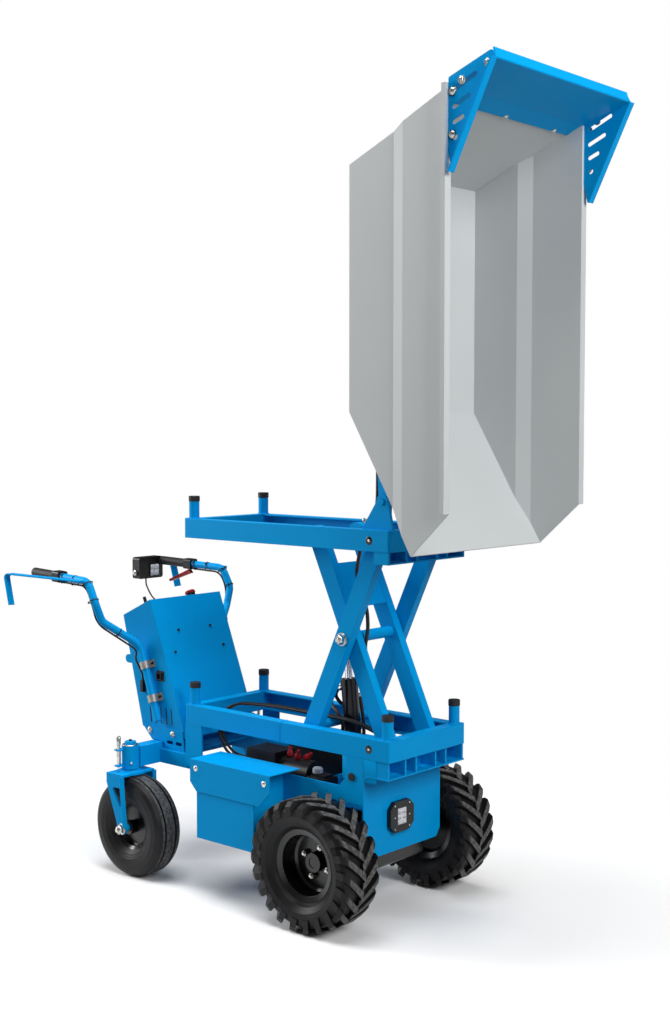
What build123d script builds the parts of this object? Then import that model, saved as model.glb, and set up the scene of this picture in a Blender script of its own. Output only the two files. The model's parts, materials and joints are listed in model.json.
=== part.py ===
"""Walk-behind site dumper: scissor lift raised and skip tipped forward.

Millimetres. +X is forward, the way the skip tips, +Y is the machine's left, +Z is up.
The origin is on the floor, under the middle of the whole machine. Lengths named
"..._back" are measured rearwards from the front end of the two lift frames, and
those named "..._behind" rearwards from their rear end.
"""

from build123d import *
import os
from math import asin, atan2, cos, degrees, hypot, radians, sin, tan

os.makedirs("parts", exist_ok=True)

# ---------------------------------------------------------------- driving sizes

# Lower and upper lift frames
frame_length = 900.0
frame_width = 385.0
rail_depth = 40.0
rail_wall = 5.0
frame_corner_radius = 8.0
lower_frame_top = 589.0
post_radius = 17.5
post_height = 58.0
post_inset = 25.0
cap_radius = 19.0
cap_height = 18.5
rest_gap = 1.0

# Scissor lift
lift_rise = 637.0
arm_length = 700.0
arm_height = 58.0
arm_rail_margin = 3.5
arm_thickness = 30.0
arm_side_gap = 2.5
arm_gap = 6.0
pivot_back = 80.0
pin_radius = 10.0
pin_clearance = 0.3
roller_radius = 25.0
roller_width = 28.0
cross_tube_radius = 15.0
centre_tube_radius = 18.0

# Lift cylinder, between the lower chassis and the inner arms
lift_base_back = 295.0
lift_base_height = 425.0
lift_eye_along = 515.0
lift_eye_out = 66.0
lift_barrel_radius = 27.5
lift_barrel_length = 298.0
lift_rod_radius = 12.5

# Tip cylinder, between the upper frame and the skip
tip_base_back = 183.0
tip_base_rise = -34.0
tip_eye_back = 150.0
tip_eye_rise = 574.0
tip_barrel_radius = 25.0
tip_barrel_length = 312.0
tip_rod_radius = 12.5
eye_radius = 19.0
eye_width = 22.0
lug_thickness = 8.0
lug_gap = 0.5
lug_margin = 3.0
neck_margin = 11.0
rod_inside = 22.0
rod_clearance = 0.3
seat_gap = 0.3
hose_diameter = 12.0
frame_hose_diameter = 10.0
cable_diameter = 7.0

# Skip hinge and skip, in the tipped position
hinge_back = 50.0
hinge_rise = 85.0
skip_wall = 3.0
skip_floor_half_width = 309.5
skip_band_half_width = 310.0
skip_step_half_width = 328.0
skip_rim_half_width = 336.0
skip_depth = 384.0
rim_flange = 24.0
rim_lip = 14.0
chute_height = 246.0
chute_start = 269.0
chute_end = -141.0
rim_start = -14.0
floor_end = 983.0
rim_end = 1150.0
fold_low = 166.0
fold_high = 212.0
rib_inset = 43.0
rib_depth = 22.0
rib_thickness = 10.0
rib_post_gap = 20.0

# Deflector on the skip's rear rim
deflector_half_width = 345.0
deflector_reach = 157.0
deflector_low = 909.0
deflector_rear_low = 969.0
deflector_rear_top = 1164.0
deflector_apex_reach = 144.0
deflector_apex = 1217.0
deflector_tip = 1192.0
deflector_inside = 54.0
deflector_fold = 24.0
deflector_drop = 26.0
deflector_wall = 4.0
slot_height = 13.0

# Wheels
front_tyre_radius = 205.0
front_tyre_width = 158.0
front_rim_radius = 112.0
lug_height = 13.0
lug_width = 17.0
lug_count = 22
tyre_tray_gap = 25.0
axle_back = 210.0
caster_tyre_radius = 170.0
caster_tyre_width = 112.0
caster_rim_radius = 78.0
caster_half_track = 300.0
caster_pivot_behind = 162.0
caster_trail = 37.0

# Chassis below the lower frame
chassis_rail_height = 48.0
chassis_rail_width = 30.0
chassis_rail_bottom = 366.0
rail_tray_gap = 2.0
chassis_rear_behind = 195.0
housing_back = 100.0
housing_length = 152.0
housing_wall = 5.0
housing_bottom = 205.0
housing_bend = 24.0
floor_half = 135.0
drive_half = 88.0
drive_bottom = 152.0
shelf_bottom = 469.0
shelf_front_back = 4.0
back_wall_back = 70.0
side_plate_bottom = 378.0
side_plate_plug_back = 146.0
side_plate_plug_height = 462.0
side_plate_nose = 16.0
end_plate_rear_back = 170.0
end_plate_bottom = 447.0
cell_wall = 8.0
cell_rib_places = (49.0, 102.0)
deck_cell_depth = 33.0
deck_cell_back = 62.0
tray_bottom = 340.0
tray_side_top = 427.0
tray_half_width = 193.0
tray_rear_back = 720.0
tray_wall = 4.0

# Battery boxes on both sides
battery_outer = 330.0
battery_front_back = 437.0
battery_rear_back = 697.0
battery_bottom = 196.0
cover_front_back = 364.0
cover_rear_back = 725.0
cover_top = 453.0
cover_low = 349.0
cover_chamfer = 48.0
cover_wall = 3.0

# Power unit, behind the drive
pump_rear_back = 650.0
pump_y = -100.0
frame_hose_y = -58.5

# Console and handlebars
console_half_width = 170.0
console_front_low_behind = 21.0
console_front_top_behind = 204.0
console_rear_low_behind = 246.0
console_rear_top_behind = 347.0
console_front_bottom = 462.0
console_rear_bottom = 477.0
console_front_top = 930.0
console_rear_top = 864.0
bracket_wall = 3.0
bar_radius = 13.5
grip_radius = 17.0
grip_length = 135.0
guard_width = 28.0
guard_thickness = 5.0
guard_tip_behind = 725.0
guard_drop = 112.0

# ---------------------------------------------------------------- worked out

rail_height = arm_height + 2 * arm_rail_margin
upper_frame_top = lower_frame_top + lift_rise
battery_inner = tray_half_width + seat_gap
chassis_rail_half_track = tray_half_width - tray_wall - rail_tray_gap - chassis_rail_width / 2
skip_floor_ahead = (post_height + cap_height + rest_gap) - hinge_rise - hinge_back
front_reach = skip_floor_ahead + skip_depth + deflector_reach
front_x = (frame_length + guard_tip_behind - front_reach) / 2


def at_back(distance):
    """The X of a point this far behind the frames' front end."""
    return front_x - distance


def behind(distance):
    """The X of a point this far behind the frames' rear end."""
    return front_x - frame_length - distance


lower_bottom = lower_frame_top - rail_height
upper_bottom = upper_frame_top - rail_height
lower_mid = lower_frame_top - rail_height / 2
upper_mid = upper_frame_top - rail_height / 2
frame_mid_x = at_back(frame_length / 2)
frame_half = frame_width / 2
inner_half = frame_half - rail_depth
web_inner = frame_half - rail_wall

arm_angle = asin(lift_rise / arm_length)
pivot_x = at_back(pivot_back)
roller_x = pivot_x - arm_length * cos(arm_angle)
centre_x = (pivot_x + roller_x) / 2
centre_z = (lower_mid + upper_mid) / 2
outer_arm_y = inner_half - arm_side_gap - arm_thickness / 2
inner_arm_y = outer_arm_y - arm_thickness - arm_gap
inner_arm_face = inner_arm_y - arm_thickness / 2
lug_y = eye_width / 2 + lug_gap + lug_thickness / 2
lug_radius = eye_radius + lug_margin

hinge_x = at_back(hinge_back)
hinge_z = upper_frame_top + hinge_rise
skip_floor_x = at_back(0) + skip_floor_ahead
axle_x = at_back(axle_back)
axle_z = front_tyre_radius
wheel_y = tray_half_width + tyre_tray_gap + front_tyre_width / 2
caster_x = behind(caster_pivot_behind)
caster_wheel_x = caster_x + caster_trail

SIDES = (("left", 1), ("right", -1))


def save(part, name):
    part.label = name
    export_step(part, f"parts/{name}.step")


def side_plane(y):
    """A plane whose X and Y are the machine's X and Z, at this Y."""
    return Plane.XZ.offset(-y)


def add_y_bar(x, z, y_from, y_to, radius, mode=Mode.ADD):
    """A round bar along Y in the part being built."""
    with Locations(Location((x, (y_from + y_to) / 2, z), (90, 0, 0))):
        Cylinder(radius, abs(y_to - y_from), mode=mode)


def add_box(x, y, z, mode=Mode.ADD):
    """A box from (low, high) pairs in the part being built."""
    middle = [(low + high) / 2 for low, high in (x, y, z)]
    with Locations(tuple(middle)):
        Box(x[1] - x[0], y[1] - y[0], z[1] - z[0], mode=mode)


# ---------------------------------------------------------------- lift frames


def add_cells(frame_bottom, depth, front_back, rear_back):
    """A row of open cells under a lift frame's front tube, in the part being built."""
    cell_half = frame_half - 2
    cell_low = frame_bottom - depth
    for place in (-cell_half + cell_wall / 2, cell_half - cell_wall / 2):
        add_box(
            (at_back(rear_back), at_back(front_back)),
            (place - cell_wall / 2, place + cell_wall / 2),
            (cell_low, frame_bottom - seat_gap),
        )
    for rib in cell_rib_places:
        for _, sign in SIDES:
            add_box(
                (at_back(rear_back), at_back(front_back + 2)),
                (sign * rib - cell_wall / 2, sign * rib + cell_wall / 2),
                (cell_low, frame_bottom - seat_gap),
            )
    add_box(
        (at_back(rear_back), at_back(rear_back - housing_wall)),
        (-cell_half, cell_half),
        (cell_low, frame_bottom - seat_gap),
    )



def lift_frame(bottom, post_backs):
    """A ring of two channels, open inwards, and two cross tubes, with stop posts."""
    top = bottom + rail_height
    with BuildPart() as frame:
        with BuildSketch(Plane.XY.offset(bottom)):
            with Locations((frame_mid_x, 0)):
                RectangleRounded(frame_length, frame_width, frame_corner_radius)
                Rectangle(
                    frame_length - 2 * rail_depth,
                    frame_width - 2 * rail_depth,
                    mode=Mode.SUBTRACT,
                )
        extrude(amount=rail_height)
        for _, sign in SIDES:
            add_box(
                (at_back(frame_length - rail_depth), at_back(rail_depth)),
                sorted((sign * web_inner, sign * (inner_half - 1))),
                (bottom + rail_wall, top - rail_wall),
                mode=Mode.SUBTRACT,
            )
            add_y_bar(
                pivot_x,
                (bottom + top) / 2,
                sign * (web_inner - 1),
                sign * (frame_half + 1),
                pin_radius + pin_clearance,
                mode=Mode.SUBTRACT,
            )
        with BuildSketch(Plane.XY.offset(top)):
            for back in post_backs:
                for _, sign in SIDES:
                    with Locations((at_back(back), sign * (frame_half - post_inset))):
                        Circle(post_radius)
        extrude(amount=post_height)
    return frame.part


def post_caps(top, post_backs):
    """Rubber caps on the stop posts."""
    with BuildPart() as caps:
        with BuildSketch(Plane.XY.offset(top + post_height)):
            for back in post_backs:
                for _, sign in SIDES:
                    with Locations((at_back(back), sign * (frame_half - post_inset))):
                        Circle(cap_radius)
        extrude(amount=cap_height)
        chamfer(caps.faces().sort_by(Axis.Z)[-4:].edges(), 1.5)
    return caps.part


all_posts = (post_inset, frame_length - post_inset)
rear_posts = (frame_length - post_inset,)
save(lift_frame(lower_bottom, all_posts), "lower_frame")
save(post_caps(lower_frame_top, all_posts), "lower_post_caps")

with BuildPart() as upper_frame:
    add(lift_frame(upper_bottom, rear_posts))
    add_cells(upper_bottom + 1, deck_cell_depth + 1, housing_wall, deck_cell_back)
    add_box(
        (at_back(deck_cell_back), at_back(housing_wall)),
        (-frame_half + 2, frame_half - 2),
        (upper_bottom - deck_cell_depth - housing_wall, upper_bottom - deck_cell_depth),
    )
    # long lugs from the front tube that carry the tip cylinder
    lug_top = upper_frame_top + tip_base_rise + lug_radius
    for sign in (1, -1):
        with BuildSketch(side_plane(sign * lug_y)):
            with Locations((at_back(tip_base_back), upper_frame_top + tip_base_rise)):
                Circle(lug_radius)
            with BuildLine():
                Polyline(
                    (at_back(rail_depth - 1), upper_bottom + 4),
                    (at_back(rail_depth - 1), lug_top),
                    (at_back(tip_base_back), lug_top),
                    (at_back(tip_base_back), lug_top - 2 * (lug_radius)),
                    close=True,
                )
            make_face()
        extrude(amount=lug_thickness / 2, both=True)
    # hinge brackets at the front corners
    for sign in (1, -1):
        with BuildSketch(side_plane(sign * (frame_half - 30))):
            with BuildLine():
                Polyline(
                    (at_back(130), upper_frame_top - 1),
                    (at_back(8), upper_frame_top - 1),
                    (hinge_x + 22, hinge_z),
                    (hinge_x - 22, hinge_z),
                    close=True,
                )
            make_face()
            with Locations((hinge_x, hinge_z)):
                Circle(22)
        extrude(amount=5, both=True)
        add_y_bar(
            hinge_x,
            hinge_z,
            sign * (frame_half - 30) - 5,
            sign * (frame_half - 30) + 5,
            pin_radius + pin_clearance,
            mode=Mode.SUBTRACT,
        )
save(upper_frame.part, "upper_frame")
save(post_caps(upper_frame_top, rear_posts), "upper_post_caps")

# ---------------------------------------------------------------- scissor arms


def arm_pair(y, rotation):
    """Two arms at plus and minus y about the scissor's centre, in the open part."""
    for _, sign in SIDES:
        with BuildSketch(side_plane(sign * y)) as arm:
            with Locations((centre_x, centre_z)):
                SlotCenterToCenter(arm_length, arm_height, rotation=rotation)
        extrude(arm.sketch, amount=arm_thickness / 2, both=True)


with BuildPart() as scissor_outer:
    arm_pair(outer_arm_y, degrees(arm_angle))
    arm_face = outer_arm_y - arm_thickness / 2
    cross_at = 25.0
    add_y_bar(
        roller_x + cross_at * cos(arm_angle),
        lower_mid + cross_at * sin(arm_angle),
        -arm_face - 1,
        arm_face + 1,
        cross_tube_radius,
    )
    for _, sign in SIDES:
        outside = outer_arm_y + arm_thickness / 2
        add_y_bar(pivot_x, upper_mid, sign * (outside - 1), sign * frame_half, pin_radius)
        add_y_bar(roller_x, lower_mid, sign * (outside - 1), sign * (outside + 3), pin_radius)
        add_y_bar(
            roller_x,
            lower_mid,
            sign * (outside + 3),
            sign * (outside + 3 + roller_width),
            roller_radius,
        )
        add_y_bar(
            centre_x,
            centre_z,
            sign * (arm_face - 1),
            sign * (outside + 1),
            pin_radius + pin_clearance,
            mode=Mode.SUBTRACT,
        )
save(scissor_outer.part, "scissor_outer")


def along_inner_arm(along, out):
    """X and Z of a point on the inner arms: along from the lower pivot, out rearwards."""
    x = pivot_x - along * cos(arm_angle) - out * sin(arm_angle)
    z = lower_mid + along * sin(arm_angle) - out * cos(arm_angle)
    return x, z


with BuildPart() as scissor_inner:
    arm_pair(inner_arm_y, -degrees(arm_angle))
    outside = inner_arm_y + arm_thickness / 2
    add_y_bar(centre_x, centre_z, -inner_arm_face - 1, inner_arm_face + 1, centre_tube_radius)
    outer_face = outer_arm_y + arm_thickness / 2
    for _, sign in SIDES:
        add_y_bar(centre_x, centre_z, sign * (outside - 1), sign * (outer_face + 4), pin_radius)
        add_y_bar(
            centre_x,
            centre_z,
            sign * (outer_face + 1),
            sign * (outer_face + 9),
            pin_radius + 6,
        )
        add_y_bar(pivot_x, lower_mid, sign * (outside - 1), sign * frame_half, pin_radius)
        add_y_bar(roller_x, upper_mid, sign * (outside - 1), sign * (outer_face + 3), pin_radius)
        add_y_bar(
            roller_x,
            upper_mid,
            sign * (outer_face + 3),
            sign * (outer_face + 3 + roller_width),
            roller_radius,
        )
    # cross plate with the cylinder's lugs
    plate_mid = along_inner_arm(lift_eye_along, -arm_height / 2 + 6)
    with BuildSketch(side_plane(0)):
        with Locations(plate_mid):
            Rectangle(150, 8, rotation=-degrees(arm_angle))
    extrude(amount=inner_arm_face + 1, both=True)
    eye = along_inner_arm(lift_eye_along, lift_eye_out)
    for sign in (1, -1):
        with BuildSketch(side_plane(sign * lug_y)):
            with BuildLine():
                Polyline(
                    along_inner_arm(lift_eye_along - 60, -arm_height / 2 + 8),
                    along_inner_arm(lift_eye_along + 60, -arm_height / 2 + 8),
                    along_inner_arm(lift_eye_along + 20, lift_eye_out + 6),
                    along_inner_arm(lift_eye_along - 20, lift_eye_out + 6),
                    close=True,
                )
            make_face()
            with Locations(eye):
                Circle(lug_radius)
        extrude(amount=lug_thickness / 2, both=True)
        head_y = sign * (lug_y + lug_thickness / 2)
        add_y_bar(eye[0], eye[1], head_y - sign, head_y + sign * 6, pin_radius + 3)
save(scissor_inner.part, "scissor_inner")

# ---------------------------------------------------------------- cylinders


def cylinder_parts(base, eye, barrel_radius, barrel_length, rod_radius):
    """A hydraulic barrel and rod in the XZ plane, from base eye to rod eye."""
    angle = atan2(eye[1] - base[1], eye[0] - base[0])
    length = hypot(eye[0] - base[0], eye[1] - base[1])
    along = Vector(cos(angle), 0, sin(angle))
    base_plane = Plane(origin=Vector(base[0], 0, base[1]), z_dir=along)
    neck = eye_radius - 7
    with BuildPart() as barrel:
        add_y_bar(base[0], base[1], -eye_width / 2, eye_width / 2, eye_radius)
        with BuildSketch(base_plane.offset(neck)):
            Circle(eye_width / 2 - 0.5)
        extrude(amount=18)
        with BuildSketch(base_plane.offset(neck + 16)):
            Circle(barrel_radius)
        extrude(amount=barrel_length - neck - 16)
        with BuildSketch(base_plane.offset(barrel_length - 22)):
            Circle(barrel_radius + 2.5)
        extrude(amount=22)
        # bore for the rod
        with BuildSketch(base_plane.offset(neck + 22)):
            Circle(rod_radius + rod_clearance)
        extrude(amount=barrel_length, mode=Mode.SUBTRACT)
    rod_start = barrel_length - rod_inside
    with BuildPart() as rod:
        # full section up to clear of the lugs, then the neck that fits between them
        rod_end = length - lug_radius - neck_margin
        with BuildSketch(base_plane.offset(rod_start)):
            Circle(rod_radius)
        extrude(amount=rod_end - rod_start)
        with BuildSketch(base_plane.offset(rod_end - 1)):
            Circle(eye_width / 2 - 0.5)
        extrude(amount=length - neck - rod_end + 1)
        add_y_bar(eye[0], eye[1], -eye_width / 2, eye_width / 2, eye_radius)
    return barrel.part, rod.part


lift_base = (at_back(lift_base_back), lift_base_height)
barrel, rod = cylinder_parts(
    lift_base,
    along_inner_arm(lift_eye_along, lift_eye_out),
    lift_barrel_radius,
    lift_barrel_length,
    lift_rod_radius,
)
save(barrel, "lift_cylinder_barrel")
save(rod, "lift_cylinder_rod")

tip_lug_z = upper_frame_top + tip_base_rise
tip_base = (at_back(tip_base_back), tip_lug_z)
tip_eye = (at_back(tip_eye_back), upper_frame_top + tip_eye_rise)
barrel, rod = cylinder_parts(
    tip_base, tip_eye, tip_barrel_radius, tip_barrel_length, tip_rod_radius
)
save(barrel, "tip_cylinder_barrel")
save(rod, "tip_cylinder_rod")

# ---------------------------------------------------------------- skip


def skip_point(depth, along):
    """X and Z in the tipped skip: depth from the floor, along from the hinge."""
    return skip_floor_x + depth, hinge_z + along


def side_outline(depths_and_places):
    """A closed outline in the side plane, for the sketch being built."""
    Polygon(*[skip_point(*point) for point in depths_and_places], align=None)


# half the outside width of the skip, from its floor to its rim
wall_line = (
    (0, skip_floor_half_width),
    (fold_low, skip_band_half_width),
    (fold_high, skip_step_half_width),
    (skip_depth, skip_rim_half_width),
)


def wall_half_width(depth):
    """Half the outside width of the skip at this depth from its floor."""
    for (low, low_width), (high, high_width) in zip(wall_line, wall_line[1:]):
        if depth <= high or high == skip_depth:
            return low_width + (high_width - low_width) * (depth - low) / (high - low)


# depth from the floor, place along the skip: the outside of the folded sheets
skip_side = (
    (0, floor_end),
    (0, chute_start),
    (chute_height, chute_end),
    (skip_depth, rim_start),
    (skip_depth, rim_end),
)


def inset_side(wall):
    """The same outline inside the sheets, run past the open rim and lip."""
    chute_slope = (chute_end - chute_start) / chute_height
    rear_slope = (rim_end - floor_end) / skip_depth
    past_lip = chute_height + 60
    past_rim = skip_depth + 40

    def chute_at(depth):
        return chute_start + chute_slope * depth + wall * hypot(1, chute_slope)

    def rear_at(depth):
        return floor_end + rear_slope * depth - wall * hypot(1, rear_slope)

    return (
        (wall, rear_at(wall)),
        (wall, chute_at(wall)),
        (past_lip, chute_at(past_lip)),
        (past_rim, chute_at(past_lip)),
        (past_rim, rear_at(past_rim)),
    )


def cross_outline(shift, start, stop):
    """The trough's section across the machine, its walls moved in by shift."""
    depths = [start, fold_low, fold_high, stop]
    right = [(skip_floor_x + d, -(wall_half_width(d) - shift)) for d in depths]
    left = [(x, -y) for x, y in reversed(right)]
    Polygon(*right, *left, align=None)


skip_low = hinge_z + chute_end - 50
skip_high = hinge_z + rim_end + 50


def trough(side_points, shift, start, stop):
    """The space between the side walls, inside one side outline."""
    with BuildPart() as space:
        with BuildSketch(side_plane(0)):
            side_outline(side_points)
        extrude(amount=skip_rim_half_width + 60, both=True)
        with BuildSketch(Plane.XY.offset(skip_low)):
            cross_outline(shift, start, stop)
        extrude(amount=skip_high - skip_low, mode=Mode.INTERSECT)
    return space.part


with BuildPart() as skip_body:
    add(trough(skip_side, 0, 0, skip_depth))
    add(
        trough(inset_side(skip_wall), skip_wall, 0, skip_depth + 40),
        mode=Mode.SUBTRACT,
    )
    # flanges folded outwards along the side rims, with a lip turned back
    flange_edge = skip_rim_half_width + rim_flange
    rim_x = skip_floor_x + skip_depth
    for _, sign in SIDES:
        rim_range = (hinge_z + rim_start, hinge_z + rim_end)
        across = sorted((sign * (skip_rim_half_width - 1), sign * flange_edge))
        add_box((rim_x - skip_wall, rim_x), across, rim_range)
        across = sorted((sign * (flange_edge - skip_wall), sign * flange_edge))
        add_box((rim_x - rim_lip, rim_x), across, rim_range)
save(skip_body.part, "skip_body")

rib_y = frame_half - rib_inset
rib_end = frame_length - hinge_back - post_inset - cap_radius - rib_post_gap

with BuildPart() as skip_underframe:
    for _, sign in SIDES:
        with BuildSketch(side_plane(sign * rib_y)):
            side_outline(
                (
                    (-rib_depth, rib_end),
                    (-rib_depth, 120),
                    (-rib_depth + 6, 0),
                    (hinge_x + 18 - skip_floor_x, 0),
                    (chute_height * 0.46, chute_start + (chute_end - chute_start) * 0.46 - 1),
                    (-0.3, chute_start - 1),
                    (-0.3, rib_end),
                )
            )
            with Locations((hinge_x, hinge_z)):
                Circle(20)
        extrude(amount=rib_thickness / 2, both=True)
        add_y_bar(
            hinge_x,
            hinge_z,
            sign * rib_y,
            sign * (frame_half - 20),
            pin_radius,
        )
    eye_place = tip_eye_rise - hinge_rise
    add_box(
        (skip_floor_x - 6, skip_floor_x - 0.3),
        (-rib_y, rib_y),
        (hinge_z + eye_place - 60, hinge_z + eye_place + 60),
    )
    for sign in (1, -1):
        with BuildSketch(side_plane(sign * lug_y)):
            with Locations(tip_eye):
                Circle(lug_radius)
            with BuildLine():
                Polyline(
                    (tip_eye[0], tip_eye[1] - eye_radius - 3),
                    (skip_floor_x - 4, tip_eye[1] - 50),
                    (skip_floor_x - 4, tip_eye[1] + 50),
                    (tip_eye[0], tip_eye[1] + lug_radius),
                    close=True,
                )
            make_face()
        extrude(amount=lug_thickness / 2, both=True)
        head_y = sign * (lug_y + lug_thickness / 2)
        add_y_bar(tip_eye[0], tip_eye[1], head_y - sign, head_y + sign * 6, pin_radius + 3)
save(skip_underframe.part, "skip_underframe")

# ---------------------------------------------------------------- deflector

rear_slope = (rim_end - floor_end) / skip_depth


def under_rear_wall(depth):
    """The place along the skip just inside its rear wall, at this depth."""
    return floor_end + rear_slope * depth - skip_wall * hypot(1, rear_slope) - seat_gap


tip_depth = skip_depth + deflector_reach
apex_depth = skip_depth + deflector_apex_reach
with BuildPart() as skip_deflector:
    # top plate: it lies inside the rear wall, then runs out to a front lip
    plate_low = skip_depth - deflector_inside
    plate_low_half = wall_half_width(plate_low) - skip_wall - 1
    plate_line = (
        (skip_depth, under_rear_wall(skip_depth)),
        (tip_depth - 6, deflector_tip + 2),
        (tip_depth - 6 - deflector_drop * 0.35, deflector_tip + 2 + deflector_drop),
    )
    plate_half = deflector_half_width - deflector_wall / 2
    with BuildSketch(side_plane(0)) as inside_plate:
        side_outline(
            (
                (plate_low, under_rear_wall(plate_low)),
                (skip_depth + 1, under_rear_wall(skip_depth)),
                (skip_depth + 1, under_rear_wall(skip_depth) - deflector_wall),
                (plate_low, under_rear_wall(plate_low) - deflector_wall),
            )
        )
    extrude(inside_plate.sketch, amount=plate_low_half, both=True)
    with BuildSketch(side_plane(0)) as outside_plate:
        with BuildLine():
            Polyline(*[skip_point(*point) for point in plate_line])
            offset(amount=deflector_wall, side=Side.RIGHT)
        make_face()
    extrude(outside_plate.sketch, amount=plate_half, both=True)
    for _, sign in SIDES:
        # the top plate's side folds, against the side plates
        with BuildSketch(side_plane(sign * (plate_half - deflector_wall / 2))) as fold:
            side_outline(
                (
                    (skip_depth + 3, under_rear_wall(skip_depth) - 1),
                    (tip_depth - 12, deflector_tip),
                    (apex_depth - 10, deflector_apex - 12),
                    (skip_depth + 10, deflector_rear_top - 6),
                )
            )
        extrude(fold.sketch, amount=deflector_wall / 2, both=True)
        # side plate with four slots
        with BuildSketch(side_plane(sign * deflector_half_width)) as side_sheet:
            with BuildLine():
                FilletPolyline(
                    skip_point(skip_depth + 14, deflector_low),
                    skip_point(skip_depth + seat_gap, deflector_rear_low),
                    skip_point(skip_depth + seat_gap, deflector_rear_top),
                    skip_point(apex_depth, deflector_apex),
                    skip_point(tip_depth, deflector_tip),
                    radius=(6, 6, 12),
                )
                Line(
                    skip_point(tip_depth, deflector_tip),
                    skip_point(skip_depth + 18, deflector_low),
                )
                Line(
                    skip_point(skip_depth + 18, deflector_low),
                    skip_point(skip_depth + 14, deflector_low),
                )
            make_face()
            for low, high in (
                ((21, 1129), (90, 1160)),
                ((19, 1084), (69, 1106)),
                ((20, 1043), (47, 1054)),
                ((23, 1001), (26, 1003)),
            ):
                ends = [Vector(*skip_point(skip_depth + d, along)) for d, along in (low, high)]
                run = ends[1] - ends[0]
                middle = (ends[0] + ends[1]) / 2
                with Locations((middle.X, middle.Y)):
                    SlotCenterToCenter(
                        run.length,
                        slot_height,
                        rotation=degrees(atan2(run.Y, run.X)),
                        mode=Mode.SUBTRACT,
                    )
        extrude(side_sheet.sketch, amount=deflector_wall / 2, both=True)
        # its front edge is folded outwards
        with BuildSketch(side_plane(sign * (deflector_half_width + deflector_fold / 2))) as lip:
            with BuildLine():
                Polyline(
                    skip_point(tip_depth, deflector_tip),
                    skip_point(skip_depth + 18, deflector_low),
                )
                offset(amount=deflector_wall, side=Side.RIGHT)
            make_face()
        extrude(lip.sketch, amount=deflector_fold / 2, both=True)
save(skip_deflector.part, "skip_deflector")

# ---------------------------------------------------------------- front wheels


def y_revolve(points, centre):
    """A ring about a line along Y: points are (radius, y) from the centre."""
    with BuildPart() as ring:
        with BuildSketch(Plane.XY) as section:
            Polygon(*[(radius, y) for radius, y in points], align=None)
        revolve(section.sketch, axis=Axis.Y)
    return ring.part.moved(Location(centre))


tyre_half = front_tyre_width / 2
carcass_radius = front_tyre_radius - lug_height


def tyre_section(tread_radius, half, rim_radius):
    """Half-round tyre outline as (radius, y), its crown at the tread radius."""
    wall = tread_radius - rim_radius
    one_side = (
        (rim_radius + 1, half * 0.62),
        (rim_radius + wall * 0.14, half * 0.8),
        (rim_radius + wall * 0.34, half * 0.95),
        (rim_radius + wall * 0.55, half),
        (rim_radius + wall * 0.76, half * 0.96),
        (rim_radius + wall * 0.9, half * 0.84),
        (tread_radius - 1.5, half * 0.6),
        (tread_radius, half * 0.25),
    )
    return tuple((r, -y) for r, y in one_side) + tuple(reversed(one_side))


def lug_band():
    """The ring that the lugs' outer faces lie on, as (radius, y)."""
    one_side = (
        (carcass_radius - 36, tyre_half * 0.9),
        (carcass_radius - 34, tyre_half),
        (carcass_radius - 6, tyre_half),
        (front_tyre_radius - 4, tyre_half * 0.9),
        (front_tyre_radius, tyre_half * 0.7),
    )
    return tuple((r, -y) for r, y in one_side) + tuple(reversed(one_side))


def lug_tyre(place):
    """A tyre with slanted bars that meet in alternating chevrons, leading down in front."""
    lead = tyre_half * 0.62
    with BuildPart() as bars:
        for side in (1, -1):
            for index in range(lug_count):
                turn = 360 / lug_count * (index + (0.25 if side == 1 else -0.25))
                plane = Plane.XY.rotated((0, turn, 0)).offset(carcass_radius - 40)
                with BuildSketch(plane) as bar:
                    Polygon(
                        (lead + lug_width * 0.7, -side * 5),
                        (lead - lug_width * 0.7, -side * 5),
                        (-lead * 0.75, side * (tyre_half + 2)),
                        (-lead * 0.75 + lug_width * 1.3, side * (tyre_half + 2)),
                        align=None,
                    )
                extrude(bar.sketch, amount=lug_height + 60)
        with BuildSketch(Plane.XY) as band:
            Polygon(*lug_band(), align=None)
        revolve(band.sketch, axis=Axis.Y, mode=Mode.INTERSECT)
        with BuildSketch(Plane.XY) as carcass:
            Polygon(*tyre_section(carcass_radius, tyre_half - 3, front_rim_radius), align=None)
        revolve(carcass.sketch, axis=Axis.Y)
    return bars.part.moved(Location(place))


hub_depth = 32.0
rim_half = tyre_half * 0.6
front_rim_section = (
    # (radius, place across: positive is outboard), from the hub's bore round to it again
    (16, -hub_depth),
    (40, -hub_depth),
    (40, -30),
    (84, -26),
    (93, -rim_half + 8),
    (front_rim_radius, -rim_half),
    (front_rim_radius, -rim_half + 5),
    (100, -rim_half + 14),
    (98, rim_half - 14),
    (front_rim_radius, rim_half - 5),
    (front_rim_radius, rim_half),
    (94, rim_half - 6),
    (92, -12),
    (84, -18),
    (32, -22),
    (30, 6),
    (16, 6),
)
for name, sign in SIDES:
    place = (axle_x, sign * wheel_y, axle_z)
    save(lug_tyre(place), f"front_tyre_{name}")
    with BuildPart() as front_rim:
        flip = [(radius, sign * y) for radius, y in front_rim_section]
        add(y_revolve(flip, place))
        # bosses of the four wheel nuts
        with Locations(Location(place)):
            for quarter in range(4):
                turn = Location((0, 0, 0), (0, 20 + 90 * quarter, 0))
                with Locations(turn * Location((50, sign * -20, 0), (90, 0, 0))):
                    Cylinder(12, 8)
    save(front_rim.part, f"front_rim_{name}")

# ---------------------------------------------------------------- rear casters

caster_half = caster_tyre_width / 2
groove_half = 4.0
groove_depth = 7.0


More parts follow.
